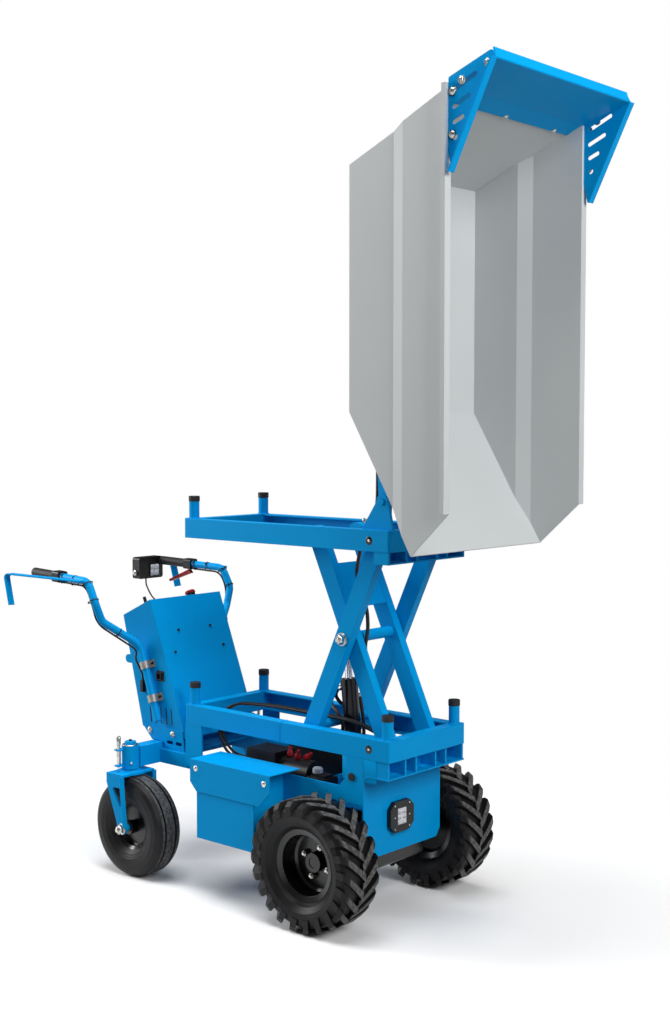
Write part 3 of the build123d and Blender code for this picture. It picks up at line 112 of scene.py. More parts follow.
class Sock:
    """A node socket that adds Math nodes when it meets + - * / and **."""

    def __init__(self, graph, out):
        self.graph, self.out = graph, out

    def _math(self, kind, *values):
        return self.graph.node("ShaderNodeMath", {"operation": kind}, dict(enumerate(values)))

    def __add__(self, other):
        return self._math("ADD", self, other)

    def __radd__(self, other):
        return self._math("ADD", other, self)

    def __sub__(self, other):
        return self._math("SUBTRACT", self, other)

    def __rsub__(self, other):
        return self._math("SUBTRACT", other, self)

    def __mul__(self, other):
        return self._math("MULTIPLY", self, other)

    def __rmul__(self, other):
        return self._math("MULTIPLY", other, self)

    def __pow__(self, other):
        return self._math("POWER", self, other)

    def sine(self):
        return self._math("SINE", self)

    def either(self, other):
        """The larger of the two."""
        return self._math("MAXIMUM", self, other)

    def clamp(self):
        return self._math("MINIMUM", self._math("MAXIMUM", self, 0.0), 1.0)

    def sibling(self, name):
        """Another output of the same node."""
        return Sock(self.graph, self.out.node.outputs[name])

    def above(self, edge, width):
        """0 below edge, 1 above edge + width."""
        return ((self - edge) * (1 / width)).clamp()


class Graph:
    """The node tree of a material or world, from an empty start to one shader."""

    def __init__(self, owner, shader="ShaderNodeBsdfPrincipled", end="ShaderNodeOutputMaterial"):
        self.owner = owner
        owner.use_nodes = True
        self.tree = owner.node_tree
        self.tree.nodes.clear()
        self.shader = self.tree.nodes.new(shader)
        self.end = self.tree.nodes.new(end)
        self.tree.links.new(self.shader.outputs[0], self.end.inputs[0])

    def node(self, kind, settings=None, inputs=None, output=0):
        """Adds a node: its settings, then the values or links of its sockets."""
        made = self.tree.nodes.new(kind)
        for key, value in (settings or {}).items():
            setattr(made, key, value)
        for key, value in (inputs or {}).items():
            self.feed(made.inputs[key], value)
        return Sock(self, made.outputs[output])

    def feed(self, socket, value):
        if isinstance(value, Sock):
            self.tree.links.new(value.out, socket)
        elif isinstance(value, (tuple, list)) and len(value) == 3 and socket.type == "RGBA":
            socket.default_value = (*value, 1)
        else:
            socket.default_value = value

    def set(self, **values):
        for key, value in values.items():
            self.feed(self.shader.inputs[key.replace("_", " ")], value)
        return self.owner

    def place(self):
        return self.node("ShaderNodeTexCoord", output="Object")

    def noise(self, scale, detail):
        return self.node(
            "ShaderNodeTexNoise", None,
            {"Vector": self.place(), "Scale": scale, "Detail": detail, "Roughness": 0.5},
        )

    def mix(self, factor, first, second):
        return self.node(
            "ShaderNodeMix", {"data_type": "RGBA"},
            {"Factor": factor, 6: first, 7: second}, output=2,
        )

    def bump(self, height, distance, strength, normal=None):
        inputs = {"Strength": strength, "Distance": distance, "Height": height}
        if normal:
            inputs["Normal"] = normal
        return self.node("ShaderNodeBump", None, inputs)


def srgb(red, green, blue):
    """A displayed colour, 0 to 255, as linear light."""
    return tuple(
        c / 12.92 if c <= 0.04045 else ((c + 0.055) / 1.055) ** 2.4
        for c in (red / 255, green / 255, blue / 255)
    )


def material_graph(name):
    return Graph(bpy.data.materials.new(name))


def powder_coat(name, light, dark, rough, round_edge=0.0022, shine=0.06, coat=0.01):
    """Sprayed and baked paint: fine orange peel, faint drift, edges softened by the coat."""
    g = material_graph(name)
    drift = g.noise(2.2, 2.0)
    broad = g.noise(14.0, 2.0)
    edge = g.node("ShaderNodeBevel", {"samples": 4}, {"Radius": round_edge})
    return g.set(
        Base_Color=g.mix(drift.above(0.3, 0.4), dark, light),
        Roughness=rough + (broad - 0.5) * 0.12,
        Normal=g.bump(g.noise(420.0, 2.0), 0.00022, 0.45, edge),
        Specular_IOR_Level=shine,
        Coat_Weight=coat,
        Coat_Roughness=0.2,
    )


def rubber(name, light, dark, rough):
    """Moulded rubber or plastic with a fine grain."""
    g = material_graph(name)
    patches = g.noise(22.0, 5.0)
    return g.set(
        Base_Color=g.mix(patches.above(0.42, 0.25), dark, light),
        Roughness=rough + (patches - 0.5) * 0.2,
        Normal=g.bump(g.noise(700.0, 3.0), 0.0002, 0.6),
        Specular_IOR_Level=0.35,
    )


def tyre_rubber(name, light, dark, rough, centre, rings_to, wear_and_highlight_from):
    """Rubber about a wheel centre (X, Z): rings on the sidewall, and lug tops painted lighter grey,
    partly as scuffing and partly as a painted highlight.
    """
    g = material_graph(name)
    patches = g.noise(22.0, 5.0)
    height = g.noise(700.0, 3.0)
    across = g.node("ShaderNodeSeparateXYZ", None, {"Vector": g.place()})
    up = across.sibling("Z")
    radius = ((across - centre.x) ** 2.0 + (up - centre.z) ** 2.0) ** 0.5
    scuff_and_sheen = g.noise(90.0, 4.0)
    # the outer lug tops are painted a lighter grey in patches: partly scuffing, partly a painted
    # highlight on the tread
    wear_and_highlight = radius.above(wear_and_highlight_from, 0.0015) * (0.35 + 0.65 * scuff_and_sheen.above(0.4, 0.2))
    rings = ((radius * 900.0).sine() * 0.5 + 0.5) * (1.0 - radius.above(rings_to, 0.004))
    fresh = g.mix(patches.above(0.42, 0.25), dark, light)
    return g.set(
        Base_Color=g.mix(wear_and_highlight, fresh, srgb(96, 95, 93)),
        Roughness=rough + (patches - 0.5) * 0.2,
        Normal=g.bump(height * 0.25 + rings, 0.0006, 0.5),
        Specular_IOR_Level=0.2,
    )


def plated(name, light, dark, rough):
    """Bright metal with a cloudy finish."""
    g = material_graph(name)
    cloud = g.noise(160.0, 4.0)
    return g.set(
        Base_Color=g.mix(cloud.above(0.4, 0.2), dark, light),
        Metallic=1.0,
        Roughness=rough + (cloud - 0.5) * 0.25,
        Normal=g.bump(g.noise(900.0, 2.0), 0.0001, 0.4),
    )


BLUE = powder_coat("sky_blue_coat", srgb(0, 155, 224), srgb(0, 150, 218), 0.4)
SKIP_GREY = powder_coat("pale_grey_coat", srgb(202, 206, 206), srgb(197, 201, 202), 0.42)
RIM_BLACK = powder_coat(
    "black_rim_coat", srgb(8, 8, 9), srgb(5, 5, 6), 0.24, round_edge=0.0012, shine=0.4, coat=0.12,
)
TYRE = tyre_rubber(
    "drive_tyre_rubber", srgb(27, 27, 29), srgb(20, 20, 22), 0.44, AXLE, 0.150, 0.2022,
)
CASTER_TYRE = tyre_rubber(
    "caster_tyre_rubber", srgb(31, 31, 33), srgb(23, 23, 25), 0.44, CASTER_AXLE, 0.125, 0.1675,
)
CAP_RUBBER = rubber("cap_rubber", srgb(34, 34, 36), srgb(24, 24, 26), 0.6)
BLACK_PLASTIC = rubber("moulded_black", srgb(24, 24, 27), srgb(17, 17, 19), 0.42)
HOSE_RUBBER = rubber("hose_rubber", srgb(24, 24, 25), srgb(15, 15, 16), 0.42)
ZINC = plated("zinc_plate", srgb(216, 216, 210), srgb(178, 178, 172), 0.3)
STRAP_ZINC = plated("dull_zinc", srgb(176, 172, 166), srgb(150, 146, 140), 0.5)
CHROME = plated("hard_chrome", srgb(235, 236, 238), srgb(220, 221, 224), 0.1)
SILVER = plated("lamp_reflector", srgb(214, 216, 220), srgb(196, 198, 204), 0.42)
RED = powder_coat(
    "red_moulding", srgb(176, 24, 30), srgb(150, 16, 24), 0.35, round_edge=0.0008, shine=0.35,
)

FINISH = {
    "blue_paint": BLUE,
    "black_rubber": CAP_RUBBER,
    "black_plastic": BLACK_PLASTIC,
    "black_steel": RIM_BLACK,
    "tyre_rubber": TYRE,
    "chromed_rod": CHROME,
    "skip_grey": SKIP_GREY,
    "zinc": ZINC,
    "red_plastic": RED,
}


def paint(thing, material):
    thing.data.materials.clear()
    thing.data.materials.append(material)


for part in frame["record"]["subparts"]:
    paint(NODES[part["node"]], FINISH[part["material_slot"]])
for node, thing in NODES.items():
    if node.startswith("caster_tyre"):
        paint(thing, CASTER_TYRE)
    elif "hose" in node or "cable_" in node and "plugs" not in node:
        paint(thing, HOSE_RUBBER)
paint(NODES["display_cable"], HOSE_RUBBER)
paint(NODES["handlebar_clamps"], STRAP_ZINC)

# ------------------------------------------------------------------ modelling by hand


def edit():
    """Into edit mode, in face select with nothing selected."""
    bpy.ops.object.mode_set(mode="EDIT")
    bpy.ops.mesh.select_mode(type="FACE")
    bpy.ops.mesh.select_all(action="DESELECT")


def pick(wanted):
    """In edit mode, selects the faces that pass the test and nothing else."""
    mesh = bmesh.from_edit_mesh(bpy.context.object.data)
    for face in mesh.faces:
        face.select_set(wanted(face))
    mesh.select_flush_mode()
    bmesh.update_edit_mesh(bpy.context.object.data)


def pick_top(least_area):
    pick(lambda face: face.normal.z > 0.95 and face.calc_area() > least_area)


def step_in(border, rise):
    """Insets the picked faces, then raises or sinks what is left."""
    bpy.ops.mesh.inset(thickness=border)
    bpy.ops.mesh.extrude_region_move(TRANSFORM_OT_translate={"value": (0, 0, rise)})


def apply_modifier(piece, kind, **settings):
    modifier = piece.modifiers.new("shape", kind)
    for key, value in settings.items():
        setattr(modifier, key, value)
    bpy.ops.object.modifier_apply(modifier=modifier.name)


def done(angle=0.6):
    """Back to object mode with outward faces and smooth shading below an angle."""
    bpy.ops.mesh.select_all(action="SELECT")
    bpy.ops.mesh.remove_doubles(threshold=1e-6)
    bpy.ops.mesh.normals_make_consistent(inside=False)
    bpy.ops.object.mode_set(mode="OBJECT")
    piece = bpy.context.object
    bpy.ops.object.transform_apply(location=True, rotation=True, scale=True)
    bpy.ops.object.shade_smooth_by_angle(angle=angle)
    return piece


def bevelled(piece, width, segments=2):
    activate(piece)
    apply_modifier(piece, "BEVEL", width=width, segments=segments, limit_method="ANGLE")
    bpy.ops.object.shade_smooth_by_angle(angle=0.6)
    return piece


def turned(steps, sides=24):
    """A turned piece up +Z: a round foot drawn up through (radius, height) steps."""
    deselect()
    radius, height = steps[0]
    bpy.ops.mesh.primitive_circle_add(
        vertices=sides, radius=radius, fill_type="NGON", location=(0, 0, height)
    )
    edit()
    bpy.ops.mesh.select_all(action="SELECT")
    for wider, higher in steps[1:]:
        bpy.ops.mesh.extrude_region_move(
            TRANSFORM_OT_translate={"value": (0, 0, higher - height)}
        )
        grow = wider / radius
        bpy.ops.transform.resize(value=(grow, grow, 1), center_override=(0, 0, higher))
        radius, height = wider, higher
    return done()


def block(low, high, edge, segments=2):
    """A bevelled block between two corners."""
    deselect()
    bpy.ops.mesh.primitive_cube_add(size=1, location=(Vector(low) + Vector(high)) / 2)
    bpy.context.object.scale = Vector(high) - Vector(low)
    bpy.ops.object.transform_apply(location=True, rotation=True, scale=True)
    return bevelled(bpy.context.object, edge, segments)


def side_block(side, low, high, edge):
    """A block given for the left side, set on the left (1) or right (-1)."""
    inner, outer = sorted((side * low[1], side * high[1]))
    return block((low[0], inner, low[2]), (high[0], outer, high[2]), edge)


def joined(pieces, name):
    deselect()
    for piece in pieces:
        piece.select_set(True)
    bpy.context.view_layer.objects.active = pieces[0]
    if len(pieces) > 1:
        bpy.ops.object.join()
    pieces[0].name = name
    pieces[0].data.name = name
    return pieces[0]


def fit(piece, body, slot, material=None):
    """The piece rides on a body, in the finish of the given slot unless another is given."""
    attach(piece, body)
    paint(piece, material or FINISH[slot])


def copies(master, places, name, body, slot, material=None):
    """Sets a copy of the master at each (point, direction, turn) and joins them."""
    made = []
    for point, direction, *turn in places:
        copy = master.copy()
        copy.data = master.data.copy()
        SCENE.collection.objects.link(copy)
        facing = Vector(direction).to_track_quat("Z", "Y").to_matrix().to_4x4()
        spin = Matrix.Rotation(turn[0] if turn else 0.0, 4, "Z")
        copy.data.transform(Matrix.Translation(point) @ facing @ spin)
        made.append(copy)
    fit(joined(made, name), body, slot, material)


def discard(*masters):
    for master in masters:
        bpy.data.objects.remove(master)


def washer(radius, thickness, base=0.0):
    edge = thickness * 0.3
    return turned(
        [(radius - edge, base), (radius, base + edge), (radius, base + thickness - edge),
         (radius - edge, base + thickness)], 32,
    )


def hex_head(radius, height, base):
    """Six flats under a turned chamfer, with a shallow dished top."""
    return turned(
        [(radius * 0.97, base), (radius, base + height * 0.06), (radius, base + height * 0.78),
         (radius * 0.86, base + height), (radius * 0.6, base + height * 0.97)], 6,
    )


def dome_head(radius, height, base):
    steps = [(radius, base)]
    for step in range(1, 7):
        swing = step / 6.4 * math.pi / 2
        steps.append((radius * math.cos(swing), base + height * math.sin(swing)))
    return turned(steps, 28)


def stud(radius, top, base):
    edge = radius * 0.25
    return turned([(radius, base), (radius, top - edge), (radius - edge, top)], 18)


def hex_bolt(size, stud_height=0.0):
    pieces = [washer(size * 1.15, size * 0.2), hex_head(size * 0.92, size * 0.62, size * 0.2)]
    if stud_height:
        pieces.append(stud(size * 0.48, size * 0.82 + stud_height, size * 0.2))
    return joined(pieces, "bolt")


def dome_bolt(size):
    head = dome_head(size * 0.9, size * 0.5, size * 0.16)
    return joined([washer(size * 1.1, size * 0.16), head], "bolt")


def socket_screw(size):
    """A cap screw with a hexagon socket sunk in its head."""
    head = turned([(size, 0), (size, size * 0.75), (size * 0.88, size * 0.9)], 24)
    activate(head)
    edit()
    pick(lambda face: face.normal.z > 0.9 and face.calc_center_median().z > size * 0.8)
    step_in(size * 0.38, -size * 0.5)
    return done()


# ------------------------------------------------------------------ bolts and pins

small_dome, cover_dome = dome_bolt(0.0105), dome_bolt(0.0115)
skip_dome, skip_hex = dome_bolt(0.0125), hex_bolt(0.0105, 0.003)
cross_bolt = joined(
    [washer(0.0215, 0.0035), washer(0.0175, 0.003, 0.0035), hex_head(0.0155, 0.011, 0.0065),
     stud(0.0078, 0.0235, 0.0065)], "cross_bolt",
)
pin_end = dome_head(0.0095, 0.006, 0.0)
face_screw = socket_screw(0.0048)

DEFLECTOR_SIDE = 0.345
REAR_BOLT_LEAN = (0.30, 0, -0.954)
copies(
    skip_dome, both_sides([on_skip(DEFLECTOR_SIDE, 0.398, up) for up in (1.125, 1.010)]),
    "deflector_domes", "skip", "zinc",
)
copies(
    skip_hex,
    both_sides([on_skip(DEFLECTOR_SIDE, 0.428, 1.151), on_skip(DEFLECTOR_SIDE, 0.513, 1.183)]),
    "deflector_bolts", "skip", "zinc",
)
copies(
    skip_hex,
    [(on_skip(y, 0.334, 1.1265), REAR_BOLT_LEAN, 0.3) for y in (-0.262, -0.006, 0.25)],
    "deflector_rear_bolts", "skip", "zinc",
)
copies(
    cross_bolt, both_sides([(FRONT - 0.2251, 0.150, 0.875)]), "cross_bolts", "outer_arms", "zinc",
)

PIN_END_Y = 0.1875
copies(
    pin_end, both_sides([(PIVOT_X, PIN_END_Y, LOWER_PIVOT_Z)]), "lower_pin_ends", "chassis", "zinc",
)
copies(
    pin_end, both_sides([(PIVOT_X, PIN_END_Y, UPPER_PIVOT_Z)]),
    "upper_pin_ends", "upper_deck", "zinc",
)

copies(
    small_dome, both_sides([(behind(back), 0.1733, 0.469) for back in (0.204, 0.086)]),
    "console_foot_bolts", "chassis", "zinc",
)
copies(
    cover_dome, both_sides([(FRONT - back, 0.330, 0.424) for back in (0.389, 0.699)]),
    "cover_bolts", "chassis", "zinc",
)
CONSOLE_FACE = Vector((0.9313, 0, 0.3642))
copies(
    face_screw,
    [
        ((behind(back), y, z), CONSOLE_FACE)
        for back, half, z in ((0.1597, 0.077, 0.817), (0.1320, 0.1165, 0.7460))
        for y in (-half, half)
    ],
    "console_face_screws", "chassis", "black_steel",
)

# ------------------------------------------------------------------ wheels and casters

NUT_CIRCLE, NUT_INSET = 0.050, 0.016
wheel_nut = joined([hex_head(0.0105, 0.010, 0.0), stud(0.006, 0.016, 0.0)], "wheel_nut")
for name, side in (("left", 1), ("right", -1)):
    nuts = []
    for quarter in range(4):
        turn = math.radians(20 + 90 * quarter)
        point = (
            AXLE.x + NUT_CIRCLE * math.cos(turn), side * (AXLE.y - NUT_INSET),
            AXLE.z - NUT_CIRCLE * math.sin(turn),
        )
        nuts.append((point, side * FAR, turn))
    copies(wheel_nut, nuts, f"wheel_nuts_{name}", f"front_wheel_{name}", "zinc")

axle_bolt = joined(
    [washer(0.0185, 0.003), hex_head(0.0165, 0.013, 0.003), stud(0.008, 0.024, 0.003)], "axle_bolt",
)
swivel_disc = washer(0.0285, 0.004)
swivel_nut = joined([hex_head(0.0095, 0.009, 0.004), stud(0.0052, 0.020, 0.004)], "swivel_nut")
nipple = turned(
    [(0.0042, 0), (0.0042, 0.004), (0.0026, 0.0055), (0.0034, 0.009), (0.0022, 0.011)], 12,
)
lock_rod = turned(
    [(0.0062, 0.370), (0.0072, 0.372), (0.0072, 0.424), (0.0088, 0.425), (0.0088, 0.433),
     (0.0058, 0.434), (0.0058, 0.447), (0.0072, 0.448), (0.0078, 0.474), (0.0060, 0.477)], 18,
)
FORK_HALF, LOCK_ROD_Y = 0.0725, 0.342
for name, side in (("left", 1), ("right", -1)):
    copies(
        axle_bolt,
        [
            ((CASTER_AXLE.x, side * (CASTER_AXLE.y + lean * FORK_HALF), CASTER_AXLE.z),
             side * lean * FAR)
            for lean in (-1, 1)
        ],
        f"caster_axle_bolts_{name}", f"caster_{name}", "zinc",
    )
    top = Vector((CASTER.x, side * CASTER.y, CASTER.z))
    copies(swivel_disc, [(top, UP)], f"swivel_disc_{name}", "chassis", "zinc")
    copies(swivel_nut, [(top, UP, 0.3)], f"swivel_nut_{name}", "chassis", "black_steel")
    copies(
        nipple, [(top + Vector((0.0245, -0.0165, -0.056)), (0.83, -0.556, 0))],
        f"swivel_nipple_{name}", "chassis", "zinc",
    )
    rod_x = CASTER.x - 0.012
    copies(lock_rod, [((rod_x, side * LOCK_ROD_Y, 0), UP)], f"lock_rod_{name}", "chassis", "zinc")
    ears = [
        side_block(side, (rod_x - 0.012, 0.322, z), (rod_x + 0.012, 0.353, z + 0.006), 0.002)
        for z in (0.372, 0.427)
    ]
    fit(joined(ears, f"lock_ears_{name}"), "chassis", "blue_paint")

# ------------------------------------------------------------------ handlebars

# bends of a handlebar and of the cable strapped to it: behind the frames, out, up
BAR_RUN = (
    (0.143, 0.1895, 0.511), (0.233, 0.1895, 0.768), (0.304, 0.303, 0.857),
    (0.310, 0.328, 0.925), (0.350, 0.326, 0.996), (0.680, 0.308, 1.006),
)
CABLE_RUN = (
    (0.254, 0.179, 0.690), (0.241, 0.199, 0.751), (0.321, 0.311, 0.847),
    (0.329, 0.326, 0.918), (0.362, 0.325, 0.978), (0.500, 0.318, 0.982),
)
# each tie's run of the bar and its share along it
TIES = ((1, 0.55), (3, 0.1), (3, 0.95), (4, 0.22), (4, 0.42))
LAST_RUN, LAST_RUN_RATIO = 4, 2.4


def cable_tie(radius):
    """A narrow strap with its square lock."""
    deselect()
    bpy.ops.mesh.primitive_cylinder_add(
        vertices=28, radius=radius, depth=0.0036, end_fill_type="NOTHING",
    )
    strap = bpy.context.object
    apply_modifier(strap, "SOLIDIFY", thickness=0.0012, offset=1)
    lock = block((radius - 0.001, -0.0032, -0.0028), (radius + 0.0048, 0.0032, 0.0028), 0.0008)
    tail = block((radius + 0.001, 0.003, -0.0012), (radius + 0.0022, 0.011, 0.0012), 0.0003, 1)
    return joined([strap, lock, tail], "tie")


tie = cable_tie(0.0172)
places = []
for side in (-1, 1):
    for run, share in TIES:
        bar = between(BAR_RUN[run], BAR_RUN[run + 1], share)
        cable_share = min(1.0, share * (1.0 if run < LAST_RUN else LAST_RUN_RATIO))
        cable = between(CABLE_RUN[run], CABLE_RUN[run + 1], cable_share)
        along = Vector(BAR_RUN[run + 1]) - Vector(BAR_RUN[run])
        centre = bar.lerp(cable, 0.2)
        point = Vector((behind(centre.x), side * centre.y, centre.z))
        places.append((point, Vector((-along.x, side * along.y, along.z)), 0.8 * side))
copies(tie, places, "cable_ties", "chassis", "black_plastic")

clamp_screw = socket_screw(0.0046)
leg = Vector((-0.0900, 0, 0.2570)).normalized()
across = Vector((leg.z, 0, -leg.x))
places = []
for clamp_up in (0.080, 0.200):
    middle = Vector((behind(0.143), 0, 0.511)) + leg * clamp_up
    for side in (-1, 1):
        for lean in (-1, 1):
            point = middle + across * lean * 0.0250
            places.append((Vector((point.x, side * 0.1747, point.z)), side * FAR, 0.2))
copies(clamp_screw, places, "clamp_screws", "chassis", "black_steel")

# ------------------------------------------------------------------ console


def panel_socket():
    """A square charging socket: flange, raised round mouth and a dark well."""
    flange = block((-0.0185, -0.0185, 0), (0.0185, 0.0185, 0.003), 0.003)
    activate(flange)
    edit()
    pick_top(4e-4)
    step_in(0.005, 0.007)
    step_in(0.003, -0.008)
    return done()


socket = panel_socket()
copies(
    socket, [((behind(0.150), -0.1702, 0.666), NEAR)],
    "charging_socket", "chassis", "black_plastic",
)

CONSOLE_TOP = Vector((-0.4192, 0, 0.9079))
button = turned(
    [(0.0172, 0), (0.0190, 0.002), (0.0196, 0.006), (0.0185, 0.010), (0.0150, 0.0128),
     (0.008, 0.0140)], 32,
)
button_foot = Vector((behind(0.2612), 0.085, 0.9036)) + CONSOLE_TOP * 0.0212
copies(button, [(button_foot, CONSOLE_TOP)], "stop_button", "chassis", "red_plastic")

# ------------------------------------------------------------------ lamps


def led_panel(width, height, columns, rows):
    """Square reflector cups in a thin panel, with a light dome in each."""
    deselect()
    bpy.ops.mesh.primitive_grid_add(x_subdivisions=columns, y_subdivisions=rows, size=1)
    bpy.context.object.scale = (width, height, 1)
    bpy.ops.object.transform_apply(location=False, rotation=False, scale=True)
    edit()
    bpy.ops.mesh.select_all(action="SELECT")
    cell = min(width / columns, height / rows)
    bpy.ops.mesh.inset(thickness=cell * 0.07, use_individual=True)
    bpy.ops.transform.translate(value=(0, 0, -0.0015))
    bpy.ops.mesh.inset(thickness=cell * 0.22, use_individual=True)
    bpy.ops.transform.translate(value=(0, 0, -0.0012))
    panel = done(0.4)
    apply_modifier(panel, "SOLIDIFY", thickness=0.0006, offset=-1)
    domes = []
    for column in range(columns):
        for row in range(rows):
            dome = dome_head(cell * 0.17, cell * 0.12, -0.0027)
            centre = (
                ((column + 0.5) / columns - 0.5) * width, ((row + 0.5) / rows - 0.5) * height, 0,
            )
            dome.data.transform(Matrix.Translation(centre))
            domes.append(dome)
    return joined([panel, *domes], "led_panel")


def bezel(half, depth, border, sink):
    """A square frame round a sunk lens."""
    frame_block = block((-half, -half, 0), (half, half, depth), 0.0015)
    activate(frame_block)
    edit()
    pick_top(1e-3)
    step_in(border, -sink)
    return done()


WORK_LAMP = Vector((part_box("work_light")[1].x, -0.022, 0.316))
work_panel = led_panel(0.042, 0.052, 2, 3)
copies(
    work_panel, [(WORK_LAMP - AHEAD * 0.0012, AHEAD)],
    "work_light_leds", "chassis", "chromed_rod", SILVER,
)
pan_screw = dome_head(0.0030, 0.0018, 0.0)
copies(
    pan_screw,
    [
        (WORK_LAMP + Vector((0, side * 0.036, rise)), AHEAD)
        for side in (-1, 1)
        for rise in (-0.037, 0, 0.037)
    ],
    "work_light_screws", "chassis", "zinc",
)

BAR_LAMP = Vector((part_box("display_unit")[1].x, 0.272, 0.9705))
bar_panel = led_panel(0.046, 0.046, 2, 2)
copies(
    bar_panel, [(BAR_LAMP + AHEAD * 0.0030, AHEAD)],
    "head_lamp_leds", "chassis", "chromed_rod", SILVER,
)
bar_bezel = bezel(0.027, 0.0038, 0.0035, 0.0034)
copies(
    bar_bezel, [(BAR_LAMP - AHEAD * 0.0002, AHEAD)],
    "head_lamp_bezel", "chassis", "black_plastic",
)
side_knob = turned(
    [(0.0085, 0), (0.0100, 0.001), (0.0100, 0.006), (0.0068, 0.007), (0.0068, 0.012),
     (0.0055, 0.0135)], 20,
)
copies(
    side_knob, [((BAR_LAMP.x - 0.020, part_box("display_unit")[0].y, 0.962), NEAR)],
    "head_lamp_knob", "chassis", "zinc",
)

# ------------------------------------------------------------------ console slots

slot_shade = block((-0.0032, -0.0295, 0), (0.0032, 0.0295, 0.0008), 0.0003, 1)
SLOT_LEAN = math.radians(6)
copies(
    slot_shade,
    [
        ((behind(0.094 + 0.027 * slot), side * 0.1677, 0.526), side * FAR, -side * SLOT_LEAN)
        for slot in range(5)
        for side in (-1, 1)
    ],
    "console_slot_shades", "chassis", "black_plastic",
)

# ------------------------------------------------------------------ side sheets and welds

sheets = [
    side_block(
        side, (FRONT - 0.186, 0.1893, 0.452),
        (FRONT - 0.050, 0.1923, LOWER_BOTTOM - 0.0003), 0.0008,
    )
    for side in (-1, 1)
]
fit(joined(sheets, "housing_upper_sheets"), "chassis", "blue_paint")


def weld_ring(radius, bead):
    """A bead round a post's foot, swollen in ten ripples."""
    deselect()
    bpy.ops.mesh.primitive_torus_add(
        major_radius=radius, minor_radius=bead, major_segments=40, minor_segments=8,
    )
    edit()
    pick(lambda face: math.degrees(math.atan2(*face.calc_center_median().yx)) % 36 < 18)
    bpy.ops.transform.resize(value=(1.012, 1.012, 1.25), center_override=(0, 0, 0))
    return done()


def post_feet(backs, top):
    post_y = FRAME_SIDE - POST_INSET
    return [((FRONT - back, side * post_y, top + 0.0005), UP) for back in backs for side in (-1, 1)]


post_weld = weld_ring(0.0182, 0.0024)
copies(
    post_weld, post_feet((POST_INSET, REAR_POST_BACK), LOWER_TOP),
    "lower_post_welds", "chassis", "blue_paint",
)
copies(
    post_weld, post_feet((REAR_POST_BACK,), UPPER_TOP),
    "upper_post_welds", "upper_deck", "blue_paint",
)


def weld_run(start, end, bead, beads):
    """A row of overlapping weld ripples along a straight joint."""
    ripples = []
    line = Vector(end) - Vector(start)
    stretch = line.length / beads / bead * 0.85
    scale = [1 + (stretch - 1) * abs(axis) for axis in line.normalized()]
    for step in range(beads):
        centre = between(start, end, (step + 0.5) / beads)
        deselect()
        bpy.ops.mesh.primitive_uv_sphere_add(
            segments=10, ring_count=6, radius=bead, location=centre,
        )
        edit()
        bpy.ops.mesh.select_all(action="SELECT")
        bpy.ops.transform.resize(value=scale, center_override=tuple(centre))
        ripples.append(done())
    return ripples


RAIL_WIDTH, WELD_MARGIN, SEAM_X = 0.042, 0.004, 0.1165
FLAT_BEAD, SIDE_BEAD = 0.0024, 0.0026


def corner_welds(side, top):
    """The mitres of one side's two corners, on the rails' top faces."""
    skin, ripples = side * FRAME_SIDE, []
    for corner, inward in ((FRONT, -1), (REAR, 1)):
        start, end = (
            (corner + inward * reach, skin - side * reach, top)
            for reach in (WELD_MARGIN, RAIL_WIDTH - WELD_MARGIN)
        )
        ripples += weld_run(start, end, FLAT_BEAD, 11)
    return ripples


runs = []
for side in (-1, 1):
    skin = side * FRAME_SIDE
    runs += weld_run(
        (SEAM_X, skin, LOWER_BOTTOM + WELD_MARGIN), (SEAM_X, skin, LOWER_TOP - WELD_MARGIN),
        SIDE_BEAD, 14,
    )
    runs += weld_run(
        (SEAM_X, skin - side * WELD_MARGIN, LOWER_TOP),
        (SEAM_X, skin - side * (RAIL_WIDTH - WELD_MARGIN), LOWER_TOP), FLAT_BEAD, 9,
    )
    runs += corner_welds(side, LOWER_TOP)
fit(joined(runs, "lower_frame_welds"), "chassis", "blue_paint")
fit(
    joined(corner_welds(-1, UPPER_TOP) + corner_welds(1, UPPER_TOP), "upper_frame_welds"),
    "upper_deck", "blue_paint",
)

# dark pivot bores round the pin ends
BORE_Y = FRAME_SIDE - 0.0004
bore = turned([(0.0128, 0), (0.0132, 0.0002), (0.0132, 0.0006), (0.0126, 0.0008)], 28)
copies(
    bore, both_sides([(PIVOT_X, BORE_Y, LOWER_PIVOT_Z)]),
    "lower_pivot_bores", "chassis", "black_steel",
)
copies(
    bore, both_sides([(PIVOT_X, BORE_Y, UPPER_PIVOT_Z)]),
    "upper_pivot_bores", "upper_deck", "black_steel",
)

# ------------------------------------------------------------------ motor terminals and contactor

boot = turned(
    [(0.0088, 0), (0.0108, 0.002), (0.0112, 0.012), (0.0092, 0.018), (0.0052, 0.024),
     (0.0046, 0.034)], 20,
)
copies(
    boot,
    [
        ((0.074, -0.0965, 0.4535), (-0.15, 0.1, 1.0)),
        ((0.112, -0.104, 0.4530), (0.35, -0.2, 0.9)),
        ((0.134, -0.090, 0.4530), (0.8, 0.1, 0.75)),
    ],
    "terminal_boots", "chassis", "red_plastic",
)
contactor = block((0.192, -0.146, 0.3446), (0.272, -0.082, 0.4180), 0.004)
activate(contactor)
edit()
pick_top(2e-3)
step_in(0.007, 0.007)
done()
fit(joined([contactor], "contactor"), "chassis", "black_plastic")
grey_cap = turned(
    [(0.0150, 0), (0.0168, 0.002), (0.0168, 0.015), (0.0120, 0.019), (0.0080, 0.020)], 24,
)
copies(grey_cap, [((0.212, -0.114, 0.4245), UP)], "contactor_cap", "chassis", "skip_grey")

# ------------------------------------------------------------------ hose sleeves and unions

LIFT_BASE, LIFT_EYE = Vector((FRONT - 0.295, 0, 0.425)), Vector((0.21717, 0, 0.99779))
BARREL_SKIN = 0.0275
lift_line = (LIFT_EYE - LIFT_BASE).normalized()
lift_out = Vector((-lift_line.z, 0, lift_line.x))


def beside_lift(along, out, y):
    return LIFT_BASE + lift_line * along + lift_out * out + Vector((0, y, 0))


